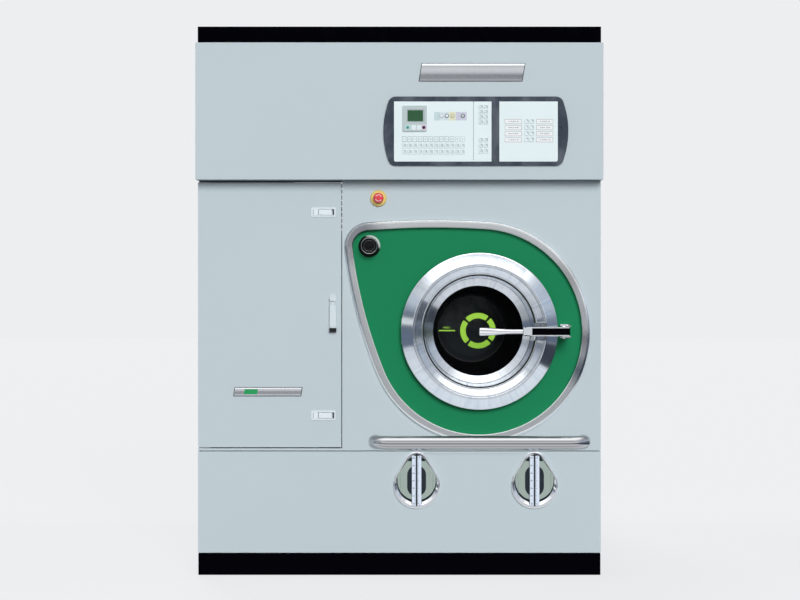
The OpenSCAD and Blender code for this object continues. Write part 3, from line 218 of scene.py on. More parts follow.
# turned on a lathe: fine rings round the piece's own axis, and faint spokes of painted reflection streaks in the base
# colour, with matching roughness streaks
base = (0.8, 0.835, 0.875)
f = Finish("turnedSteel")
x, y, z = f.point()
radius = x.length(y)
along = f.combine(radius, z)
rings = f.noise(520, 5, roughness=0.65, at=along)
broad = f.noise(60, 2, roughness=0.5, at=along)
streaks = f.noise(16, 7, roughness=0.75, at=f.combine(x / radius, y / radius, radius * 0.4))
# painted reflection: the spokes darken the base colour in radial streaks
tone = f.mix(streaks.ease(0.45, 0.68), base, (base[0] * 0.84, base[1] * 0.87, base[2] * 0.92))
f.surface(base=f.mix(broad * 0.4, tone, shade(base, 0.86)), metallic=1, anisotropy=0.8, grainTurn=0.25,
    roughness=0.1 + rings * 0.08 + streaks * 0.06, normal=f.bump(rings + broad * 2, 0.05, 0.0006))

# satin steel strip with painted reflections: its base colour has light and dark patches set by the angle round the door
# axis along the strip
f = Finish("trimSteel")
x, y, z = f.point()
wave = f.noise(9, 4, roughness=0.6)
at = (z - doorCentre.z).turn(x - doorCentre.x) * 0.5 + 0.5 + (wave - 0.5) * 0.03
# painted reflection patches, with a slight noisy wobble in their positions
paintedReflectionTone = f.ramp(at, [
    (0, (0.89, 0.91, 0.905)), (0.41, (0.92, 0.95, 0.96)), (0.444, (0.24, 0.28, 0.33)),
    (0.468, (0.7, 0.72, 0.74)), (0.487, (0.5, 0.5, 0.52)), (0.505, (0.88, 0.89, 0.9)),
    (0.545, (0.96, 0.98, 1)), (0.582, (0.72, 0.72, 0.71)), (0.62, (0.9, 0.92, 0.92)),
    (0.862, (0.88, 0.9, 0.89)), (0.886, (0.4, 0.41, 0.44)), (0.908, (0.46, 0.47, 0.49)),
    (0.928, (0.86, 0.88, 0.87)), (1, (0.89, 0.91, 0.905))])
f.polished(paintedReflectionTone, 0.17 + wave * 0.1)

# polished tube with painted shade in its base colour: darkest on top, lightest at the middle
foot, height = 0.456, 0.05  # of the tube
f = Finish("railChrome")
x, y, z = f.point()
tone = f.ramp((z - foot) / height, [(0.2, (0.46, 0.46, 0.465)), (0.5, (0.6, 0.6, 0.6)),
                                    (0.68, (0.52, 0.52, 0.53)), (0.8, (0.305, 0.31, 0.315))])
f.polished(tone, 0.03 + f.noise(26, 5, roughness=0.65).ease(0.35, 0.85) * 0.08)

# black oxide with a painted highlight, pale and partly metallic, on the side towards the upper right where the light
# falls
f = Finish("neckFinish")
x, y, z = f.point()
paintedLitSide = ((x - filler["x"] * mm) * 0.66 + (z - filler["z"] * mm) * 0.75).ease(0.014, 0.029)
fine = f.noise(200)
f.surface(base=f.mix(paintedLitSide, (0.006, 0.008, 0.008), (0.6, 0.68, 0.64)), metallic=paintedLitSide * 0.5,
    roughness=0.3 + fine * 0.1, specular=0.1, normal=f.bump(fine, 0.02, 0.0003))

# rolled sheet with rows of punched holes, a back wall painted near black as painted shade, and a grey hub in its middle
# with painted light towards its top
f = Finish("drumSteel")
x, y, z = f.point()
across, up = x - doorCentre.x, z - doorCentre.z
radius = across.length(up)
pitch, shellRadius, hubRadius, hubFront, backFront = 0.022, 0.392, 0.136, 0.4, 0.6
row = (y / pitch).wrap(1) - 0.5
column = (up.turn(across) * (math.pi * shellRadius / pitch) + (y / pitch).whole() * 0.5).wrap(1) - 0.5
hole = (row.length(column) < 0.2) * (radius > 0.385)
hub = (radius < hubRadius) * (y > doorCentre.y + hubFront)
# painted shade: the back wall outside the hub is painted near black
back = (radius < shellRadius) * (y > doorCentre.y + backFront) * (1 - hub)
inside = back.atLeast(hub)
cloud, blotch = f.noise(5), f.noise(16, 5, roughness=0.65).ease(0.4, 0.62)
# painted light: the hub's colour and coat grow lighter towards its top, in soft blotches, over a cloudy tone
lit = z.ease(doorCentre.z - 0.03, doorCentre.z + 0.11) * (0.55 + blotch * 0.45)
hubCloudAndPaintedLight = f.mix(lit, f.mix(cloud, (0.11, 0.13, 0.16), (0.065, 0.08, 0.09)), (0.88, 1, 1))
disc = f.mix(hub * radius.ease(0.128, 0.132), hubCloudAndPaintedLight, (0.17, 0.18, 0.19))
shell = f.mix(hole, (0.4, 0.41, 0.42), (0.008, 0.008, 0.008))
f.surface(base=f.mix(inside, shell, f.mix(hub, (0.004, 0.004, 0.005), disc)),
    metallic=(1 - hole) * (1 - inside), coat=hub * lit, coatRoughness=0.15,
    roughness=0.3 + cloud * 0.14 + hole * 0.5 + back * 0.3 + hub * 0.3,
    normal=f.bump(1 - hole, 0.5, 0.002))

# dark glass with a black printed border
f = Finish("darkGlass")
x, y, z = f.point()
border = (x - doorCentre.x).length(z - doorCentre.z).ease(0.152, 0.158)
smear = f.noise(7, 4)
f.surface(base=f.mix(smear, (0.0015, 0.0018, 0.002), (0.003, 0.0035, 0.004)),
    roughness=0.015 + smear * 0.03, specular=0.03, alpha=0.16 + border * 0.6)

# dark glossy moulding with soft blotches of reflected light
f = Finish("slateMoulding")
cloud = f.noise(14, 4, stretch=(1, 1, 0.55), roughness=0.6)
f.surface(base=f.mix(cloud.ease(0.36, 0.68), (0.026, 0.038, 0.058), (0.092, 0.108, 0.134)),
    roughness=0.24 + cloud * 0.12, coat=0.15, coatRoughness=0.1, specular=0.3,
    normal=f.bump(f.noise(900, 2), 0.04, 0.0003))

# light casting above, black lock below
lockTop = 0.8885
f = Finish("handleBaseFinish")
x, y, z = f.point()
lock = z < lockTop
fine = f.noise(300)
f.surface(base=f.mix(lock, (0.62, 0.69, 0.72), (0.006, 0.006, 0.007)), metallic=(1 - lock) * 0.3,
    roughness=0.34 + fine * 0.08, normal=f.bump(fine, 0.05, 0.0003))

# rubber with a bloom
f = Finish("blackRubber")
bloom = f.noise(30, 5, roughness=0.7)
f.surface(base=f.mix(bloom.ease(0.4, 0.8), (0.012, 0.012, 0.012), (0.035, 0.035, 0.035)),
    roughness=0.62 + bloom * 0.2, normal=f.bump(f.noise(600), 0.12, 0.0004))

# cast iron, worn in places
base = (0.16, 0.17, 0.18)
f = Finish("castIron")
worn = f.noise(12, 5).ease(0.5, 0.75)
f.surface(base=f.mix(worn * 0.4, base, shade(base, 1.5)), metallic=0.25, roughness=0.55 - worn * 0.1,
    normal=f.bump(f.noise(180, 5, roughness=0.7), 0.35, 0.001))

# brass
f = Finish("plainBrass")
worn = f.noise(40, 5)
f.surface(base=f.mix(worn, (0.62, 0.44, 0.17), (0.4, 0.27, 0.11)), metallic=1,
    roughness=0.25 + worn * 0.2, normal=f.bump(f.noise(300), 0.05, 0.0004))

# lit screen with faint lines
f = Finish("greenScreen")
x, y, z = f.point()
lines = ((z / 0.0009).wrap(1) < 0.18) * 0.25
f.surface(base=f.mix(f.noise(30, 2) * 0.5 + lines, (0.0025, 0.064, 0.016), (0.0015, 0.038, 0.009)),
    roughness=0.12, glow=(0.01, 0.16, 0.035), glowStrength=0.12, coat=0.15)

plastics = {  # colour, roughness, grain, coat, specular
    "blackPlastic": ((0.003, 0.003, 0.004), 0.32, 0.05, 0, 0.22),
    "armBlack": ((0.0006, 0.0006, 0.001), 0.5, 0.03, 0, 0.03),
    "leverSatin": ((0.61, 0.65, 0.68), 0.3, 0.02, 0.3), "softBlack": ((0.02, 0.02, 0.021), 0.5, 0.15),
    "whiteFoil": ((0.785, 0.885, 0.905), 0.38, 0.03, 0.1), "keyWhite": ((0.76, 0.84, 0.88), 0.34, 0.03, 0.1),
    "handlePale": ((0.66, 0.74, 0.77), 0.28, 0.03, 0.1), "greyPlastic": ((0.5, 0.58, 0.59), 0.4, 0.05),
    "gaugePlate": ((0.36, 0.43, 0.395), 0.42, 0.05), "gaugeBack": ((0.006, 0.014, 0.018), 0.4, 0.05),
    "scaleWhite": ((0.74, 0.82, 0.95), 0.3, 0.02, 0.1), "gaugeGlass": ((0.012, 0.02, 0.03), 0.06, 0, 0.4),
    "grooveGreen": ((0.2, 0.25, 0.23), 0.5), "stopRed": ((0.76, 0.065, 0.085), 0.2, 0.02, 0.5),
    "stopYellow": ((0.8, 0.6, 0.18), 0.26, 0.03, 0.4), "stopArrow": ((0.85, 0.72, 0.68), 0.4),
    "greyKey": ((0.52, 0.58, 0.58), 0.25, 0.02, 0.3), "yellowKey": ((0.74, 0.7, 0.42), 0.25, 0.02, 0.3),
    "tealKey": ((0.05, 0.3, 0.27), 0.3, 0.02, 0.3), "plumKey": ((0.05, 0.01, 0.05), 0.3),
    "greyInk": ((0.2, 0.24, 0.26), 0.5), "latchInk": ((0.4, 0.45, 0.47), 0.5), "paleInk": ((0.42, 0.48, 0.5), 0.5),
    "darkInk": ((0.03, 0.035, 0.05), 0.5), "limeInk": ((0.33, 0.62, 0.06), 0.45),
    "markInk": ((0.3, 0.345, 0.37), 0.5), "hookInk": ((0.26, 0.3, 0.32), 0.5),
    "windowFrame": ((0.36, 0.34, 0.33), 0.5), "labelPaper": ((0.88, 0.9, 0.92), 0.6),
    "stripTeal": ((0.56, 0.7, 0.72), 0.4), "stripPale": ((0.68, 0.78, 0.8), 0.4),
    "stripYellow": ((0.76, 0.76, 0.55), 0.4), "stripLilac": ((0.6, 0.61, 0.73), 0.4),
    "stripGrey": ((0.62, 0.64, 0.74), 0.4), "screenRim": ((0.34, 0.42, 0.42), 0.4, 0.03),
    "tealTint": ((0.5, 0.66, 0.66), 0.4, 0.03), "lilacTint": ((0.66, 0.61, 0.7), 0.4, 0.03),
    "insetGreen": ((0.02, 0.32, 0.1), 0.3, 0.02, 0.3), "sealGrey": ((0.1, 0.11, 0.115), 0.6, 0.1)}
for name, values in plastics.items():
    mouldedPlastic(name, *values)
print("finishes made:", len(finishes))

finishOf = {
    "blackEnamel": "base_tray top_cover compressor", "framePaint": "frame", "greenPaint": "green_panel",
    "cabinetPaint": "side_panel_left side_panel_right rear_panel header_panel front_panel lower_panel service_door",
    "trimSteel": "trim_frame", "slateMoulding": "control_bezel", "whiteFoil": "key_plate label_plate",
    "greyPlastic": "display", "gaugePlate": "gauge_plates", "gaugeGlass": "gauge_glass", "scaleWhite": "gauge_scales",
    "brightChrome": "front_rail gauge_bezels filler_neck door_keeper lever_bracket lever_grip",
    "brushedSteel": "hinge_fixings tub solvent_tanks fan_housing door_hinge_leaf fan_wheel",
    "brushedUpright": "still", "stopYellow": "estop_collar", "castIron": "bearing_housing drum_pulley motor_pulley",
    "machineEnamel": "drive_motor filter_housing solvent_pump", "blackRubber": "drive_belt door_gasket",
    "plainBrass": "connections", "turnedSteel": "door_ring", "darkGlass": "door_glass", "drumSteel": "drum",
    "blackPlastic": "lever_arm filler_cap", "handleBaseFinish": "handle_base", "handlePale": "handle_hub handle_lever",
    "keyWhite": "latch_housings latch_paddle_top latch_paddle_bottom button_1 button_2", "yellowKey": "button_3",
    "greyKey": "button_4", "softBlack": "estop_stem", "stopRed": "estop_head"}
for finish, names in finishOf.items():
    for name in names.split():
        mesh = nodes[name].data
        mesh.materials.clear()
        mesh.materials.append(finishes[finish])


def evenShading(piece):
    piece.modifiers.new("evenShading", "WEIGHTED_NORMAL").keep_sharp = False


def softenEdges(name, width, segments):
    # small rounded edges on a pressed or moulded piece
    piece = nodes[name]
    for polygon in piece.data.polygons:
        polygon.use_smooth = True
    weld = piece.modifiers.new("joinFaces", "WELD")
    weld.merge_threshold = 0.00001
    edge = piece.modifiers.new("edgeRadius", "BEVEL")
    edge.width, edge.segments = width * mm, segments
    edge.limit_method, edge.angle_limit = "ANGLE", math.radians(35)
    edge.miter_outer = "MITER_ARC"
    evenShading(piece)


for width, segments, names in (
        (0.9, 2, "header_panel lower_panel service_door side_panel_left side_panel_right"),
        (1.2, 2, "top_cover base_tray"), (2, 3, "control_bezel"), (0.4, 2, "key_plate label_plate display"),
        (1.2, 3, "lever_arm lever_bracket handle_base handle_lever"), (1.6, 3, "lever_grip"),
        (0.6, 2, "latch_housings latch_paddle_top latch_paddle_bottom door_keeper handle_hub")):
    for name in names.split():
        softenEdges(name, width, segments)


def meshPiece(name, verts, faces, finish, body, replaces=(), smooth=True, origin=None):
    mesh = bpy.data.meshes.new(name)
    mesh.from_pydata(verts, [], faces)
    mesh.validate()
    work = bmesh.new()
    work.from_mesh(mesh)
    bmesh.ops.remove_doubles(work, verts=work.verts, dist=0.000002)
    bmesh.ops.dissolve_degenerate(work, dist=0.0000005, edges=work.edges)
    bmesh.ops.recalc_face_normals(work, faces=work.faces)
    work.to_mesh(mesh)
    work.free()
    for polygon in mesh.polygons:
        polygon.use_smooth = smooth
    mesh.materials.append(finishes[finish])
    piece = bpy.data.objects.new(name, mesh)
    bpy.context.scene.collection.objects.link(piece)
    if origin:
        piece.location = origin
        piece.rotation_euler = (math.radians(90), 0, 0)
    if smooth:
        evenShading(piece)
    if replaces:
        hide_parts(*replaces)
    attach(piece, body)
    return piece


def rounded(points, radius, steps=4):
    # a closed outline with its corners rounded; radius may be one number or one for each corner
    out = []
    count = len(points)
    for i, here in enumerate(points):
        before, after = Vector(points[i - 1]), Vector(points[(i + 1) % count])
        corner = Vector(here)
        toBefore, toAfter = before - corner, after - corner
        limit = radius[i] if isinstance(radius, (list, tuple)) else radius
        reach = min(limit, toBefore.length * 0.45, toAfter.length * 0.45)
        if reach < 0.01 or toBefore.angle(toAfter) > math.radians(176):
            out.append(tuple(corner))
            continue
        start, end = corner + toBefore.normalized() * reach, corner + toAfter.normalized() * reach
        for k in range(steps + 1):
            t = k / steps
            out.append(tuple(start * (1 - t) ** 2 + corner * (2 * t * (1 - t)) + end * t ** 2))
    return out


def spokes(n):
    angles = [2 * math.pi * i / n for i in range(n)]
    return [(math.cos(a), math.sin(a)) for a in angles]


def ringMesh(loops, closed=True):
    # faces between neighbouring loops of points; the last loop meets the first, or both ends are capped
    verts = [point for loop in loops for point in loop]
    size, count = len(loops[0]), len(loops)
    faces = []
    for j in range(count if closed else count - 1):
        for i in range(size):
            a, b = j * size + i, j * size + (i + 1) % size
            c, d = ((j + 1) % count) * size + (i + 1) % size, ((j + 1) % count) * size + i
            faces.append((a, b, c, d))
    if not closed:
        faces += [tuple(range(size))[::-1], tuple((count - 1) * size + i for i in range(size))]
    return verts, faces


def lathe(name, profile, x, z, finish, body, replaces=(), segments=192, radius=1, ownFrame=False):
    # turns a closed outline of (radius, outward) round an axis that runs out of the front;
    # in its own frame the piece's Z is that axis, so that the steel's grain runs round it
    outline = rounded(profile, radius)
    loops = []
    for c, d in spokes(segments):
        if ownFrame:
            loops.append([Vector((r * c, r * d, u)) * mm for r, u in outline])
        else:
            loops.append([place(x + r * c, z + r * d, u) for r, u in outline])
    meshPiece(name, *ringMesh(loops), finish, body, replaces, origin=place(x, z) if ownFrame else None)


def band(name, outlineAt, section, finish, body, replaces=(), radius=1):
    # a section of (offset, outward) carried round a closed outline
    loops = [[place(px, pz, u) for px, pz in outlineAt(s)] for s, u in rounded(section, radius)]
    verts, faces = ringMesh(loops)
    meshPiece(name, verts, [f[::-1] for f in faces], finish, body, replaces)


def slabPiece(name, outline, u0, u1, finish, body, edge=0.8, replaces=()):
    # a flat plate with rounded front edges
    inset, count = edge * 0.7, len(outline)

    def shrunk(by):
        result = []
        for i in range(count):
            a, b = Vector(outline[i - 1]), Vector(outline[(i + 1) % count])
            along = (b - a).normalized()
            result.append((outline[i][0] - along.y * by, outline[i][1] + along.x * by))
        return result
    steps = [(0, u0), (0, u1 - edge), (inset * 0.15, u1 - edge * 0.5), (inset * 0.5, u1 - edge * 0.15), (inset, u1)]
    loops = [[place(px, pz, u) for px, pz in shrunk(by)] for by, u in steps]
    meshPiece(name, *ringMesh(loops, False), finish, body, replaces)


def arc(cx, cz, r, a, b, n):
    return [(cx + r * math.cos(math.radians(a + (b - a) * i / n)),
             cz + r * math.sin(math.radians(a + (b - a) * i / n))) for i in range(n + 1)]


def rect(x, z, w, h, r, n=5):
    dx, dz = w / 2 - r, h / 2 - r
    return (arc(x + dx, z + dz, r, 0, 90, n) + arc(x - dx, z + dz, r, 90, 180, n)
            + arc(x - dx, z - dz, r, 180, 270, n) + arc(x + dx, z - dz, r, 270, 360, n))


def box(x0, x1, z0, z1):
    return [(x0, z0), (x1, z0), (x1, z1), (x0, z1)]


class Sheet:
    # gathers flat printed marks or small solids into one mesh
    def __init__(self):
        self.verts, self.faces = [], []

    def add(self, points, faces):
        base = len(self.verts)
        self.verts += points
        self.faces += [tuple(base + i for i in face) for face in faces]

    def prism(self, outline, u0, u1):
        self.add(*ringMesh([[place(*p, u) for p in outline] for u in (u0, u1)], False))

    def bar(self, x0, x1, z0, z1, u, thick=inkThick):
        self.prism(box(x0, x1, z0, z1), u, u + thick)

    def hollow(self, outer, inner, u0, u1):
        n = len(outer)
        points = [place(*p, u) for u in (u0, u1) for loop in (outer, inner) for p in loop]
        faces = []
        for i in range(n):
            k = (i + 1) % n
            faces += [(2 * n + i, 2 * n + k, 3 * n + k, 3 * n + i), (i, n + i, n + k, k),
                      (i, k, 2 * n + k, 2 * n + i), (n + i, 3 * n + i, 3 * n + k, n + k)]
        self.add(points, faces)

    def frame(self, x, z, w, h, corners, less, u0, u1):  # a thin outline round a rounded rectangle
        self.hollow(rect(x, z, w, h, corners[0], 3),
                    rect(x, z, w - less, h - less, corners[1], 3), u0, u1)

    def ring(self, x, z, outer, inner, n, u0, u1):
        self.hollow(*[arc(x, z, r, 0, 360 - 360 / n, n - 1) for r in (outer, inner)], u0, u1)

    def stroke(self, x0, z0, x1, z1, width, u):
        along = Vector((x1 - x0, z1 - z0)).normalized() * (width / 2)
        dx, dz = -along.y, along.x
        self.prism([(x0 + dx, z0 + dz), (x0 - dx, z0 - dz), (x1 - dx, z1 - dz), (x1 + dx, z1 + dz)], u, u + inkThick)

    def piece(self, name, finish, body="cabinet", smooth=False):
        meshPiece(name, self.verts, self.faces, finish, body, smooth=smooth)


def plate(name, outlines, u0, u1, finish=None, body="cabinet"):
    sheet = Sheet()
    for outline in outlines:
        sheet.prism(outline, u0, u1)
    sheet.piece(name, finish or name, body)


def word(name, says, size, depth, alignY, spot, finish, body):
    # a flat raised word or number that faces the front
    text = bpy.data.curves.new(name, "FONT")
    text.body, text.size, text.extrude = says, size, depth
    text.align_x, text.align_y = "CENTER", alignY
    text.materials.append(finishes[finish])
    piece = bpy.data.objects.new(name, text)
    bpy.context.scene.collection.objects.link(piece)
    piece.location = spot
    piece.rotation_euler = (math.radians(90), 0, 0)
    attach(piece, body)


print("finishes on the packed nodes, mesh tools ready")

# loading door: the turned ring, one profile from the flange over the ridge down to the glass
doorRing = {"segments": 256, "round": 1.2, "profile": [
    (282, 24.5), (281, 26.5), (278.5, 28), (244, 59.5), (240.5, 61.6), (238, 62), (236, 61.2), (235, 59.4),
    (233.6, 60.4), (231.6, 60.2), (230.2, 57.2), (210, 39), (208.4, 37.2), (206.6, 38.6), (204, 38.2), (203, 35),
    (192, -82), (191, -84), (166, -96.7), (164, -98), (164, -101), (175, -101), (175, -117), (180, -117),
    (182, -103), (197, -87), (208.5, 14), (214, 18), (282, 18)]}
lathe("ringTurned", doorRing["profile"], *doorAxis, "turnedSteel", "loading_door", ["door_ring"],
      doorRing["segments"], doorRing["round"], ownFrame=True)
lathe("ringSeal", [(203.4, 30), (199.6, 29.6), (198.7, 27), (199, 22), (202.6, 20)], *doorAxis,
      "blackRubber", "loading_door", radius=0.8)

# teardrop trim: a rolled section carried round two circles joined by two wide arcs
trim = {"centre": (287, 876), "radius": 369, "cornerRadius": 58, "corner": (-397, 306),
        "topRadius": 2800, "leftRadius": 1720,
        "section": [(0, -6), (0, 13.5), (0.7, 15.4), (3, 16), (20, 16), (25, 14.9), (28.2, 11.6),
                    (29.8, 6.5), (30, 0.3), (12, 0.3), (12, -6)]}


def teardropAt(grow):
    big, small = Vector(trim["centre"]), Vector(trim["centre"]) + Vector(trim["corner"])
    span = (small - big).length
    along = (small - big) / span
    side = Vector((along.y, -along.x))

    def wideCentre(radius, sign):
        a, b = (radius - trim["radius"]) ** 2, (radius - trim["cornerRadius"]) ** 2
        p = (a - b + span * span) / (2 * span)
        return big + p * along + sign * math.sqrt(a - p * p) * side

    def heading(v):
        return math.degrees(math.atan2(v.y, v.x)) % 360
    top, left = wideCentre(trim["topRadius"], -1), wideCentre(trim["leftRadius"], 1)
    a, b = heading(big - top), heading(small - top)
    c, d = heading(small - left), heading(big - left)
    return (arc(*top, trim["topRadius"] + grow, a, b, 40)[:-1]
            + arc(*small, trim["cornerRadius"] + grow, b, c, 36)[:-1]
            + arc(*left, trim["leftRadius"] + grow, c, d, 40)[:-1]
            + arc(*big, trim["radius"] + grow, d, a + 360, 220)[:-1])


band("trimRolled", teardropAt, trim["section"], "trimSteel", "cabinet", ["trim_frame"], 1.5)
print("ring and trim made")

# front rail: one bent tube with a soft return into the panel at each end
rail = {"x": 287, "z": 481, "length": 798, "diameter": 50, "out": 72, "bend": 50, "sides": 48}


def railPath():
    half = rail["length"] / 2 - rail["diameter"] / 2
    leg, turn = rail["out"] - rail["bend"], rail["bend"]
    side = [(half, 0.5 + (leg - 0.5) * i / 3) for i in range(3)]
    side += [(half - turn + turn * math.cos(a), leg + turn * math.sin(a))
             for a in [math.pi / 2 * i / 20 for i in range(21)]]
    middle = [((half - turn) * (1 - 2 * i / 24), rail["out"]) for i in range(1, 24)]
    points = side + middle + [(-x, u) for x, u in side[::-1]]
    return [place(rail["x"] + x, rail["z"], u) for x, u in points]


def tubeLoops(path, radius, sides):
    loops = []
    for i, here in enumerate(path):
        direction = (path[min(i + 1, len(path) - 1)] - path[max(i - 1, 0)]).normalized()
        first = direction.cross(Vector((0, 0, 1))).normalized()
        second = direction.cross(first).normalized()
        loops.append([here + first * (radius * c) + second * (radius * d) for c, d in spokes(sides)])
    return loops


railLoops = tubeLoops(railPath(), rail["diameter"] / 2 * mm, rail["sides"])
railTube = meshPiece("railTube", *ringMesh(railLoops, False), "railChrome", "cabinet", ["front_rail"])
railTube.visible_shadow = railTube.visible_glossy = False
print("front rail made")

# level gauges: pressed chrome bezel deeper below than above, plate with an oblong window, two white scales
gauge = {"xs": (62, 486), "z": 323, "radius": 83.5, "topUp": 77, "topRadius": 45, "sink": 9, "rim": 14,
         "window": (68, 112), "windowUp": 16, "plateTop": 410, "plateLift": 6.5, "ticks": 24,
         "scale": (-72, 107), "scaleFace": 12.3, "scaleMiddle": 10, "scaleWidth": 14, "screw": 1.7,
         "digits": (-64, 163, 0.0075), "digitsAside": -12.4, "groove": (58.2, 59.6), "grooveZ": (-26, 40),
         "section": [(0, 0.3), (0, 7.2), (-0.9, 9), (-2.6, 10), (-4.6, 9.9), (-6.2, 9), (-12.6, 3.4),
                     (-14, 1.2), (-14, 0.3)]}


def dropAt(x, z, grow, lift=0):
    # outline of one gauge: two circles joined by straight sides
    big, small, up = gauge["radius"] + grow, gauge["topRadius"] + grow, gauge["topUp"] - lift
    lean = math.degrees(math.acos((big - small) / up))
    return (arc(x, z + lift, big, 90 + lean, 450 - lean, 72)
            + arc(x, z + gauge["topUp"], small, 90 - lean, 90 + lean, 24))


def around(outline, centre, count=120, top=None):
    # the same outline as points at even angles round a centre, cut flat at the top if asked
    edges = [(Vector(p) - Vector(centre), Vector(q) - Vector(p)) for p, q in zip(outline, outline[1:] + outline[:1])]
    loop = []
    for k in range(count):
        angle = 2 * math.pi * (k + 0.5) / count
        ray = Vector((math.cos(angle), math.sin(angle)))
        for start, along in edges:
            cross = ray.x * along.y - ray.y * along.x
            if abs(cross) > 1e-9:
                reach = (start.x * along.y - start.y * along.x) / cross
                part = (start.x * ray.y - start.y * ray.x) / cross
                if reach > 0 and -1e-6 <= part <= 1 + 1e-6:
                    break
        if top is not None and math.sin(angle) > 0:
            reach = min(reach, (top - centre[1]) / math.sin(angle))
        loop.append((centre[0] + reach * math.cos(angle), centre[1] + reach * math.sin(angle)))
    return loop


def oblong(x, z, w, h, n=20):
    rise = (h - w) / 2
    return arc(x, z + rise, w / 2, 0, 180, n) + arc(x, z - rise, w / 2, 180, 360, n)


scaleMarks, scaleStrips, plateScrews, gaugeBacks, gaugeFaces, gaugeGrooves = [Sheet() for k in range(6)]
for number, x in enumerate(gauge["xs"], 1):
    z, inside, face = gauge["z"], -gauge["rim"], gauge["scaleFace"]
    band("gaugeRim%d" % number, lambda s, x=x: dropAt(x, gauge["z"], s, -s * gauge["sink"] / gauge["rim"]),
         gauge["section"], "brightChrome", "cabinet", ["gauge_bezels"], 0.8)
    centre = (x, z + gauge["windowUp"])
    opening = around(oblong(*centre, *gauge["window"]), centre)
    # painted shade: a near-black sheet inside the bezel, seen in the gap the lifted plate leaves at the bottom
    gaugeBacks.hollow(around(dropAt(x, z, inside + 1, gauge["sink"]), centre), opening, 0.35, 0.9)
    lifted = dropAt(x, z + gauge["plateLift"], inside - 1, gauge["sink"])
    gaugeFaces.hollow(around(lifted, centre, top=gauge["plateTop"]), opening, 0.8, 3.6)
    z0, z1 = [z + up for up in gauge["scale"]]
    for side in (-1, 1):
        middle, (g0, g1) = x + side * gauge["scaleMiddle"], sorted([x + side * g for g in gauge["groove"]])
        gaugeGrooves.bar(g0, g1, *[z + up for up in gauge["grooveZ"]], 3.5, 0.2)
        scaleStrips.prism(rect(middle, (z0 + z1) / 2, gauge["scaleWidth"], z1 - z0, 1.5, 3), 9.6, face)
        for i in range(gauge["ticks"] + 1):
            edge, long = x + side * 3.6, 6.5 if i % 4 == 0 else 3.4
            height = z0 + 8 + (z1 - z0 - 16) * i / gauge["ticks"]
            scaleMarks.bar(*sorted((edge, edge + side * long)), height - 0.6, height + 0.6, face)
        for height in (z0 + 4, z1 - 4):
            plateScrews.prism(arc(middle, height, gauge["screw"], 0, 330, 11), face, face + 0.6)
gaugeFaces.piece("gaugeFaces", "gaugePlate")
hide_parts("gauge_plates")
gaugeBacks.piece("gaugeBacks", "gaugeBack")
gaugeGrooves.piece("gaugeGrooves", "grooveGreen")
scaleStrips.piece("gaugeScales", "scaleWhite")
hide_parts("gauge_scales")
scaleMarks.piece("gaugeTicks", "darkInk")
plateScrews.piece("gaugeScrews", "brightChrome")
for name, x in zip(("leftScale", "rightScale"), gauge["xs"]):
    low, rise, size = gauge["digits"]
    for i in range(7):  # numbers up the left scale of each gauge
        spot = place(x + gauge["digitsAside"], gauge["z"] + low + rise * i / 6, gauge["scaleFace"] + 0.06)
        word("%s%d" % (name, i * 10), str(i * 10), size, 0.00006, "CENTER", spot, "darkInk", "cabinet")
print("gauges made")

# control panel: outlines and generic marks on the two printed plates
panel = {"z": 1592, "face": 70.5, "keyFace": 71.5, "pitch": 18.9, "firstKey": 17,
         "rows": ((-29, 20), (-54, 16), (-76, 14)), "columnXs": (289.5, 307.5),
         "columnZs": (1676, 1658, 1640, 1622, 1559, 1539, 1519), "joint": (263.4, 264.8, 1488, 1697),
         "labelXs": (405.5, 517.5), "labelKeyXs": (453, 471), "labelPitch": 21.7,
         "label": (60, 16.5), "strip": (1644.75, 30.5), "stripOut": (70.45, 70.72), "buttonZ": 1646,
         "rim": (7.4, 4.9), "rimOut": (70.5, 72.6)}


def keyMark(sheet, x, z, size, kind, u):
    # plain signs: bar, cross, ring, arrow, corner, dots
    s = size / 2
    if kind == 0:
        sheet.stroke(x - s, z, x + s, z, size * 0.16, u)
    elif kind == 1:
        for up in (-s * 0.7, s * 0.7):
            sheet.stroke(x - s * 0.7, z + up, x + s * 0.7, z - up, size * 0.14, u)
    elif kind == 2:
        sheet.ring(x, z, s * 0.85, s * 0.58, 24, u, u + inkThick)
    elif kind == 3:
        sheet.prism([(x - s * 0.6, z - s * 0.7), (x + s * 0.8, z), (x - s * 0.6, z + s * 0.7)], u, u + inkThick)
    elif kind == 4:
        sheet.stroke(x - s * 0.8, z - s * 0.5, x, z + s * 0.6, size * 0.14, u)
        sheet.stroke(x, z + s * 0.6, x + s * 0.8, z - s * 0.5, size * 0.14, u)
    else:
        for dx in (-0.44, 0, 0.44):
            sheet.prism(rect(x + dx * size, z, size * 0.2, size * 0.5, size * 0.05, 2), u, u + inkThick)


keyLines, keyFaint, keyMarks, keyShadeSheet, plateFrames, stripPale = [Sheet() for k in range(6)]


def paintKeyShade(x, z, size):
    # painted shade along the upper right corner of a raised key
    keyShadeSheet.bar(x - size * 0.05, x + size * 0.36, z + size * 0.34, z + size * 0.48, panel["keyFace"])
    keyShadeSheet.bar(x + size * 0.3, x + size * 0.44, z - size * 0.12, z + size * 0.4, panel["keyFace"])


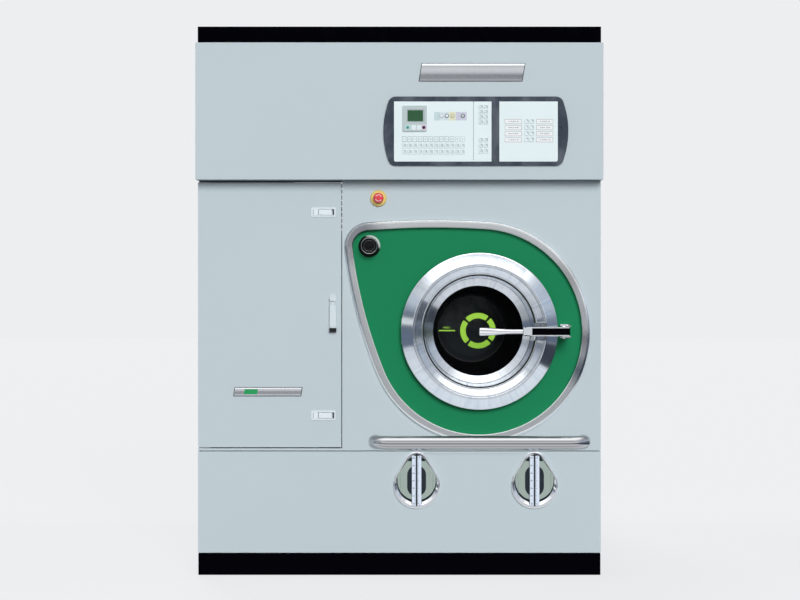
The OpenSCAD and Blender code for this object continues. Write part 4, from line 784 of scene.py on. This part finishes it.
keyFace, face, pitch = panel["keyFace"], panel["face"], panel["pitch"]
for row, (dz, h) in enumerate(panel["rows"]):
    for i in range(12):
        x, z = panel["firstKey"] + i * pitch, panel["z"] + dz
        (keyLines if row == 0 and i < 10 else keyFaint).frame(x, z, pitch - 4, h, (2, 1.2), 2.2,
                                                              keyFace - 0.5, keyFace + 0.06)
        keyMark(keyMarks, x, z, 7, (i * 5 + row * 3) % 6, keyFace)
        if row:
            paintKeyShade(x, z, 12)
for z in panel["columnZs"]:
    for column, x in enumerate(panel["columnXs"]):
        keyFaint.frame(x, z, 14, 14, (2, 1.5), 1.8, keyFace - 0.5, keyFace + 0.06)
        keyMark(keyMarks, x - 1, z - 1, 6.5, int(z + column * 3) % 6, keyFace)
        paintKeyShade(x, z, 13)
keyLines.bar(*panel["joint"], face - 0.1, 0.3)  # joint between the two printed fields
for row in range(4):
    z = panel["z"] + 33.5 - row * panel["labelPitch"]
    for x in panel["labelXs"]:
        plateFrames.frame(x, z, *panel["label"], (1.5, 1), 2.4, face - 0.2, face + 0.5)
        stripPale.prism(rect(x, z, 58.4, 14.9, 1, 3), face - 0.1, face + 0.25)
        for k in range(5):
            start = x - 17 + k * 7.6
            keyMarks.bar(start, start + (5.4 if (k + row) % 3 else 3.4), z - 1.4, z + 1.6, face + 0.25, 0.08)
    for x in panel["labelKeyXs"]:
        keyFaint.frame(x, z, 15, 15, (2, 1.6), 1.8, keyFace - 0.2, keyFace + 0.06)
        paintKeyShade(x, z, 13)
for sheet, name, finish in ((keyLines, "keyOutlines", "greyInk"), (keyFaint, "keyEdges", "paleInk"),
                            (keyMarks, "keyMarks", "markInk"), (keyShadeSheet, "keyShades", "hookInk"),
                            (plateFrames, "windowFrames", "windowFrame"), (stripPale, "labelWindows", "labelPaper")):
    sheet.piece(name, finish)
for name, x0, x1 in (("stripTeal", 124, 144), ("stripPale", 144.6, 176), ("stripYellow", 177, 200),
                     ("stripLilac", 201, 219), ("stripGrey", 219.6, 240)):
    z, h = panel["strip"]
    plate(name, [rect((x0 + x1) / 2, z, x1 - x0, h, 1.2, 3)], *panel["stripOut"])
for name, spots, finish in (("buttonRimsDark", (169, 226), "darkInk"), ("buttonRimsPale", (149.5, 189.5), "paleInk")):
    rims = Sheet()
    for x in spots:
        rims.ring(x, panel["buttonZ"], *panel["rim"], 48, *panel["rimOut"])
    rims.piece(name, finish)

# display: pale housing with a lit screen, a teal key, two white keys and a dark one
display = {"pane": (57, 1645, 55, 39.5, 1.5, 3), "paneOut": (72.9, 73.6), "rim": (58, 1646, 62, 45, 3, 4),
           "rimHole": (57.5, 1645.5, 56.5, 40, 1.8, 4), "rimOut": (73.4, 75.3), "keyZ": 1604, "keyXs": (51, 70),
           "keyOut": (74.6, 75.6), "tintOut": (74.5, 74.9), "roundOut": (74.4, 76.2, 77, 77.2)}
plate("screenPane", [rect(*display["pane"])], *display["paneOut"], "greenScreen")
screenRim = Sheet()
screenRim.hollow(rect(*display["rim"]), rect(*display["rimHole"]), *display["rimOut"])
screenRim.piece("screenRim", "screenRim")
keys = [rect(x, display["keyZ"], 16, 17, 2.5, 4) for x in display["keyXs"]]
plate("displayKeys", keys, *display["keyOut"], "keyWhite")
for name, x0, x1 in (("tealTint", 19, 41), ("lilacTint", 79, 98)):
    plate(name, [rect((x0 + x1) / 2, display["keyZ"], x1 - x0, 21, 2, 4)], *display["tintOut"])
for name, x, r, finish in (("displayKeyTeal", 29.5, 4.8, "tealKey"), ("displayKeyDark", 87, 5.8, "plumKey")):
    foot, edge, shoulder, top = display["roundOut"]
    lathe(name, [(0, foot), (r, foot), (r, edge), (r - 1.2, shoulder), (0, top)], x, display["keyZ"], finish, "cabinet",
          segments=40, radius=0.5)
print("control panel made")

# plain bars: a polished one on the header and a smaller one on the service door
bars = {"header": (259, 1802, 376, 60, 60, 9, "cabinet"), "door": (-473.5, 660, 245, 28, 0, 6, "service_door")}
barLean, barMargin = 0.16, 2.5


def domedBar(name, x, z, w, h, u, thick, edge, body):
    # a leaning bar with a cylindrical front that catches light above and shade below
    lean = h * barLean
    loops = []
    for k in range(15):
        t = -1 + 2 * k / 14
        swell = u + edge + (thick - edge) * math.sqrt(max(0, 1 - t * t * 0.98))
        profile = ((0, u), (0, swell - 0.8), (0.9, swell))
        left, right = [x + lean * t / 2 + side * (w / 2 - lean / 2) for side in (-1, 1)]
        loops.append([place(left + inset, z + t * h / 2, v) for inset, v in profile]
                     + [place(right - inset, z + t * h / 2, v) for inset, v in profile[::-1]])
    meshPiece(name, *ringMesh(loops, False), "barSteel", body)


for name, (x, z, w, h, u, thick, body) in bars.items():
    lean, dx, dz = (h + 2 * barMargin) * barLean, w / 2 + barMargin, h / 2 + barMargin
    corners = [(x - dx, z - dz), (x + dx - lean, z - dz), (x + dx, z + dz), (x - dx + lean, z + dz)]
    slabPiece(name + "NameBase", rounded(corners, 2), u, u + 2.2, "softBlack", body, edge=0.6)
    domedBar(name + "NameBar", x, z, w, h, u + 2, thick - 2, 1, body)
inset = rounded([(-560, 651), (-512, 651), (-508.5, 669), (-556.5, 669)], 1.5, 3)
plate("doorNameInset", [inset], 4, 6.4, "insetGreen", "service_door")
print("plain bars made")

# latch plates: printed outline, and a dark bar of painted shade over the opening past the free end of each paddle; a
# dark grey strip of painted shade in the gap above the service door
latch = {"outline": (77, 25), "bar": (-36.5, -34.4), "slot": (34.4, 38), "half": 9.5}
latchLow, latchHigh = [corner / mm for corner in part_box("latch_housings")]
middle, plateFace = (latchLow.x + latchHigh.x) / 2, frontY / mm - latchLow.y
for end in ("top", "bottom"):
    paddleLow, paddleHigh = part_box("latch_paddle_" + end)
    height = (paddleLow.z + paddleHigh.z) / 2 / mm
    outlines = Sheet()
    outlines.frame(middle, height, *latch["outline"], (2, 1.4), 1.8, plateFace - 0.3, plateFace + 0.15)
    (b0, b1), (s0, s1), h = *[[middle + x for x in latch[part]] for part in ("bar", "slot")], latch["half"]
    outlines.bar(b0, b1, height - h, height + h, plateFace - 0.05, 0.22)
    outlines.piece("latchOutline" + end.capitalize(), "latchInk", "service_door")
    # painted shade: a dark bar over the opening past the paddle's free end
    plate("latchSlot" + end.capitalize(), [box(s0, s1, height - h - 0.1, height + h + 0.1)],
          plateFace - 0.3, plateFace + 0.3, "darkInk", "service_door")
doorLow, doorHigh = [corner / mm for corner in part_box("service_door")]
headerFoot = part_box("header_panel")[0].z / mm
# painted shade: a dark grey strip behind the gap between the service door and the header
plate("doorGapShade", [box(doorLow.x + 6, doorHigh.x + 2.5, doorHigh.z + 1.4, headerFoot - 0.4)], -16, -4, "sealGrey")
print("latch marks made")

# level line and a plain ring printed on the domed front of the glass
glass = {"profile": [(0, -91), (33, -91.5), (82, -94), (131, -99), (160, -103)], "lift": 0.35, "outer": 65,
         "inner": 45, "arcs": 4, "gap": 9, "line": (144, 203), "lineZ": (876, 880.5)}
glassMarks = Sheet()


def onGlass(corners):
    spots = []
    for x, z in corners:
        radius = math.hypot(x - doorAxis[0], z - doorAxis[1])
        for (r0, u0), (r1, u1) in zip(glass["profile"], glass["profile"][1:]):
            if radius <= r1:
                break
        spots.append(place(x, z, u0 + (u1 - u0) * (radius - r0) / (r1 - r0) + glass["lift"]))
    glassMarks.add(spots, [(0, 1, 2, 3)])


for i in range(glass["arcs"]):
    a = 360 / glass["arcs"] * i + 45 + glass["gap"]
    b = a + 360 / glass["arcs"] - glass["gap"]
    for k in range(24):
        c, d = a + (b - a) * k / 24, a + (b - a) * (k + 1) / 24
        onGlass([arc(*doorAxis, glass[r], g, g, 1)[0] for r, g in
                 (("inner", c), ("outer", c), ("outer", d), ("inner", d))])
for k in range(12):
    x0, x1 = [glass["line"][0] + (glass["line"][1] - glass["line"][0]) * t / 12 for t in (k, k + 1)]
    z0, z1 = glass["lineZ"]
    onGlass([(x0, z0), (x1, z0), (x1, z1), (x0, z1)])
glassMarks.piece("glassMarks", "limeInk", "loading_door")
word("levelWord", "MAX", 0.012, 0.0001, "TOP_BASELINE", place(173, 885, -96.4), "limeInk", "loading_door")
print("glass marks made")

# lever: black arm between two bright rails, a knuckle, and a grip that widens to its free end;
# the grip's stations are distance from the knuckle, half height and half depth
lever = {"x": 499, "z": 878, "u": 110, "half": 12, "rail": 4, "back": 30, "end": 106, "knuckle": 31, "catch": 84,
         "knuckleOut": (95.2, 124.4), "railOut": (95.3, 121.8), "armOut": (99, 122.6),
         "pin": [(0, 0), (7, 0), (7, 1.6), (5.4, 3.4), (4.9, 8.5), (3.6, 9.6), (0, 9.8)],
         "grip": ((0, 8.2, 8), (2, 8.6, 8.2), (30, 8.6, 8.6), (60, 9.4, 9), (85, 11.2, 9.4), (110, 13.4, 9.8),
                  (135, 14.7, 10), (148, 14.9, 10), (152.5, 14.4, 9.4), (154.6, 13, 8), (155, 11, 6.5))}
z, half = lever["z"], lever["half"]
knuckleRight = lever["x"] - lever["back"]
knuckleLeft = knuckleRight - lever["knuckle"]
armEnd = lever["x"] + lever["end"]
loops = []
for s, h, d in lever["grip"]:
    flank = [(h, -d), (h, d * 0.15), (h * 0.62, d * 0.78), (h * 0.16, d)]
    outline = rounded(flank + [(0, d * 0.72)] + [(-b, c) for b, c in flank[::-1]], 2.2, 3)
    loops.append([place(knuckleLeft - s, z + b, lever["u"] + c) for b, c in outline])
meshPiece("leverGripBar", *ringMesh(loops, False), "brightChrome", "door_lever", ["lever_grip"])
flank = [(knuckleLeft + along, h) for along, h in ((0, 16), (4, 16), (5.5, 13.5), (12, 13.5), (13.5, 16))]
flank += [(knuckleRight + 0.5, 16)]
outline = [(x, z - h) for x, h in flank] + [(x, z + h) for x, h in flank[::-1]]
slabPiece("leverKnuckle", rounded(outline, 1.2, 3), *lever["knuckleOut"], "leverSatin", "door_lever", edge=2.4)
for side, end in ((-1, "Low"), (1, "High")):
    left, right = knuckleRight - 2, armEnd - 4
    middle = z + side * (half + lever["rail"] / 2)
    outline = rect((left + right) / 2, middle, right - left, lever["rail"], 1.1, 4)
    slabPiece("leverRail" + end, outline, *lever["railOut"], "leverSatin", "door_lever")
left, right, high = knuckleRight + 0.4, armEnd - 1.2, half - 0.1
armOutline = rounded([(left, z - high), (right, z - high), (right, z + high), (left, z + high)], [0.4, 2, 2, 0.4])
slabPiece("leverArmBar", armOutline, *lever["armOut"], "armBlack", "door_lever", edge=2.2, replaces=["lever_arm"])
for side, end in ((-1, "Low"), (1, "High")):
    loops = []
    for c, d in spokes(32):
        loops.append([place(lever["x"] + lever["catch"] + r * c, z + side * (half + 4 + h * 0.98), lever["u"] + r * d)
                      for r, h in rounded(lever["pin"], 0.6, 3)])
    meshPiece("catchPinEnd" + end, *ringMesh(loops), "brightChrome", "door_lever")
print("lever made")

# filler cap with its grip ribs, and the ringed neck on the green panel
fillerAxis = (filler["x"], filler["z"])
lathe("fillerNeckRing", [(18, -10), (41, -10), (41, -7.5), (38.5, -4.5), (34, -3), (24, -2.6), (24, 26), (18, 26)],
      *fillerAxis, "neckFinish", "cabinet", ["filler_neck"], 96, 0.8)
profile = rounded([(0, 26.3), (24.05, 26.3), (24.05, -1.7), (30.5, -1.7), (32, -0.2), (32, 36), (29, 40), (26, 40),
                   (24, 37), (20, 37), (19, 33), (0, 33)], 1, 3)
loops = []
for i, (c, d) in enumerate(spokes(216)):
    rib = 1.5 * max(0, math.cos(filler["ribs"] * 2 * math.pi * i / 216)) ** 2
    radii = [(r - rib if r > 29.5 else r, u) for r, u in profile]
    loops.append([place(filler["x"] + r * c, filler["z"] + r * d, u) for r, u in radii])
meshPiece("fillerCapRibbed", *ringMesh(loops), "blackPlastic", "filler_cap", ["filler_cap"])
slabPiece("fillerCapBar", rect(*fillerAxis, 30, 8, 3.4), 32.8, 38.6, "blackPlastic", "filler_cap", edge=1.6)
for name, r0, r1, u in (("capRingWide", 27.4, 29, 39.6), ("capRingSmall", 18.6, 19.4, 36.4)):
    lathe(name, [(r0, u - 1), (r1, u - 1), (r1, u + 0.6), ((r0 + r1) / 2, u + 1), (r0, u + 0.6)], *fillerAxis,
          "capSteel", "filler_cap", (), 96, 0.3)
print("filler made")

# emergency stop: yellow collar, red mushroom head with two pale arrows
stopAxis = (-75, 1356)
lathe("stopCollar", [(8.05, -16), (10.5, -16), (10.5, 0.3), (29.5, 0.3), (29.5, 5.6), (27.4, 8.8), (22.5, 11.6),
                     (8.05, 12)], *stopAxis, "stopYellow", "cabinet", ["estop_collar"], 96, 1.2)
lathe("stopHead", [(5.05, 18.3), (16.5, 18.3), (18.5, 20.3), (18.5, 24), (17.4, 27.2), (13.4, 30.2), (7.6, 31.9),
                   (0, 32.4), (0, 27.8), (5.05, 27.8)], *stopAxis, "stopRed", "stop_head", ["estop_head"], 96, 1)
arrows = Sheet()
for turn in (0, 180):
    arrows.hollow(*[arc(*stopAxis, r, turn + 20, turn + 130, 16) for r in (12.2, 10.4)], 30.2, 31.5)
    arrows.prism([arc(*stopAxis, r, turn + at, turn + at, 1)[0] for r, at in
                  ((11.3, 148), (14, 128), (8.4, 128))], 30, 31.2)
arrows.piece("stopArrows", "stopArrow", "stop_head")
print("emergency stop made")

# small fasteners along the rear panel and the side panels
screws = {"radius": 5, "height": 2.2, "sides": 16, "rearXs": (-700, -420, -140, 140, 420, 700),
          "rearZs": (110, 620, 1130, 1640, 1880)}


def screwRow(name, spots, normal):
    # pan heads with a flat on top
    first = normal.orthogonal().normalized()
    second = normal.cross(first)
    sheet = Sheet()
    for spot in spots:
        loops = []
        for t in (0, 0.25, 0.5, 0.75, 1):
            r = screws["radius"] * mm * math.cos(t * math.pi / 2 * 0.86)
            h = screws["height"] * mm * math.sin(t * math.pi / 2)
            loops.append([spot + first * (r * c) + second * (r * d) + normal * h for c, d in spokes(screws["sides"])])
        sheet.add(*ringMesh(loops, False))
    sheet.piece(name, "brightChrome", smooth=True)


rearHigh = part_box("rear_panel")[1]
leftLow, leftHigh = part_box("side_panel_left")
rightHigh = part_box("side_panel_right")[1]
screwRow("rearScrews", [Vector((x * mm, rearHigh[1], z * mm)) for x in screws["rearXs"] for z in screws["rearZs"]],
         Vector((0, 1, 0)))
sideYs = [leftLow[1] + (leftHigh[1] - leftLow[1]) * t for t in (0.02, 0.25, 0.5, 0.75, 0.98)]
for name, x, out in (("leftScrews", leftLow[0], -1), ("rightScrews", rightHigh[0], 1)):
    screwRow(name, [Vector((x, y, z * mm)) for y in sideYs for z in (120, 1880)]
             + [Vector((x, y, z * mm)) for y in (sideYs[0], sideYs[4]) for z in (560, 1000, 1440)], Vector((out, 0, 0)))
print("fasteners made")

# floor, background, lamps and camera
scene = bpy.context.scene
floorMesh = bpy.data.meshes.new("floor")
floorMesh.from_pydata([(-40, -40, 0), (40, -40, 0), (40, 40, 0), (-40, 40, 0)], [], [(0, 1, 2, 3)])
floor = bpy.data.objects.new("floor", floorMesh)
scene.collection.objects.link(floor)


def rayIs(f, kind):  # 0 camera, 3 glossy, 6 transmission
    return f.node("LightPath", output=kind)


f = Finish("paleFloor")
pale = f.mix(f.noise(3, 4) * 0.25, paleTone, shade(paleTone, 0.99))
x, y, z = f.point()
mirrored, direct = rayIs(f, 3), rayIs(f, 0).atLeast(rayIs(f, 3)).atLeast(rayIs(f, 6))
far = x.ease(4.6, 6.2)
dark = x.ease(1.85, 1.98) * (1 - far) * 0.96  # black mats beside the object, seen only in its metal
navy = far.atLeast((0 - x).ease(3, 3.5))
ahead = f.ramp((frontY - y) / 2.5, [
    (0.065, (0.88, 0.94, 1)), (0.1, (0.84, 0.88, 0.92)), (0.14, (0.6, 0.61, 0.64)), (0.2, (0.62, 0.63, 0.66)),
    (0.26, (0.86, 0.88, 0.92)), (0.42, (0.84, 0.86, 0.9)), (0.55, (0.44, 0.45, 0.47)), (1, (0.4, 0.41, 0.43))])
seen = f.mix(mirrored, pale, ahead)
seen = f.mix(navy * mirrored, seen, (0.13, 0.16, 0.23))
seen = f.mix(dark * mirrored, seen, (0.02, 0.025, 0.045))
matt = f.node("BsdfPrincipled", sockets={
    "Base Color": f.mix(direct, (0.17, 0.175, 0.18), (0.68, 0.685, 0.695)), "Roughness": 0.9})
glow = f.node("Emission", sockets={"Color": seen, "Strength": 1})
f.finishWith(f.node("MixShader", sockets={0: (direct * 0.85).atLeast(mirrored), 1: matt, 2: glow}))
floorMesh.materials.append(f.material)

world = bpy.data.worlds.new("studio")
world.use_nodes = True
scene.world = world
f = Finish("studio", world.node_tree)
x, y, z = f.point(0)
rim = x.length(z).atLeast(0.001)
streaks = f.noise(5.5, 5, roughness=0.62, at=f.combine(x / rim, z / rim, y * 0.6))
wander = (streaks - 0.5) * 0.06
right = f.ramp(z.turn(x) + 0.5 + wander, [
    (0.322, (0.36, 0.4, 0.46)), (0.336, (0.02, 0.025, 0.04)), (0.444, (0.02, 0.03, 0.05)),
    (0.461, (0.05, 0.065, 0.085)), (0.544, (0.085, 0.11, 0.15)), (0.575, (0.3, 0.34, 0.4)),
    (0.655, (0.36, 0.4, 0.46)), (0.72, (0.42, 0.44, 0.47)), (0.8, (0.6, 0.6, 0.6)), (1, (0.8, 0.8, 0.8))])
left = f.ramp(z.turn(0 - x) + 0.5 + wander, [
    (0.4, (0.34, 0.37, 0.42)), (0.425, (0.05, 0.07, 0.09)), (0.52, (0.045, 0.06, 0.08)),
    (0.531, (0.6, 0.61, 0.59)), (0.549, (0.58, 0.59, 0.57)), (0.558, (0.055, 0.07, 0.09)),
    (0.59, (0.1, 0.12, 0.15)), (0.63, (0.36, 0.39, 0.43)), (0.72, (0.56, 0.57, 0.58)), (1, (0.8, 0.8, 0.8))])
sides = f.mix(x > 0, left, right)
sides = f.mix(z.ease(0.62, 0.88), sides, (1.42, 1.43, 1.44))
sides = f.mix(streaks.ease(0.4, 0.62, 0, 0.45) * (1 - z.ease(0.5, 0.9)), sides, (0.16, 0.18, 0.22))
front = f.ramp(z, [  # dark horizon in front, a thin line along a round bar
    (0, (0.06, 0.065, 0.075)), (0.016, (0.1, 0.105, 0.115)), (0.06, (0.44, 0.45, 0.465)),
    (0.3, (0.47, 0.475, 0.485)), (0.48, (0.3, 0.31, 0.325)), (0.62, (0.28, 0.29, 0.305)),
    (0.72, (0.48, 0.49, 0.5)), (0.85, (0.6, 0.605, 0.615)), (1, (0.8, 0.8, 0.8))])
mirror = f.mix(abs(y).ease(0.5, 0.85), sides, front)
backdrop, ambient, studio = [f.node("Background", sockets={"Color": f.colour(tone), "Strength": strength})
                             for tone, strength in ((paleTone, 1), ((0.95, 0.975, 1), 0.23), (mirror, 1.9))]
inner = f.node("MixShader", sockets={0: rayIs(f, 3), 1: ambient, 2: studio})
f.finishWith(f.node("MixShader", sockets={0: rayIs(f, 0), 1: inner, 2: backdrop}))

# each lamp's direction, strength and spread
lights = {"front": ((0.17, -1, 0.39), 2.62, 0.52), "behind": ((-0.2, 1, 1.1), 1.75, 0.4),
          "left": ((-1, 0.12, 0.5), 1.5, 0.5), "right": ((1, 0.12, 0.5), 1.2, 0.5)}
for name, (direction, strength, spread) in lights.items():
    data = bpy.data.lights.new(name, "SUN")
    data.energy, data.angle = strength, spread
    lamp = bpy.data.objects.new(name, data)
    lamp.rotation_euler = Vector(direction).to_track_quat("Z", "Y").to_euler()
    lamp.visible_glossy = False
    scene.collection.objects.link(lamp)

view = {"lens": 81.25, "sensor": 36, "aside": 0.0022, "distance": 6.5, "height": 0.99}
cameraData = bpy.data.cameras.new("camera")
cameraData.lens, cameraData.sensor_width = view["lens"], view["sensor"]
camera = bpy.data.objects.new("camera", cameraData)
camera.location = (view["aside"], frontY - view["distance"], view["height"])
camera.rotation_euler = (math.radians(90), 0, 0)
scene.collection.objects.link(camera)
scene.camera = camera
scene.view_settings.view_transform = "Standard"
print("lamps and camera set")

bpy.context.view_layer.update()
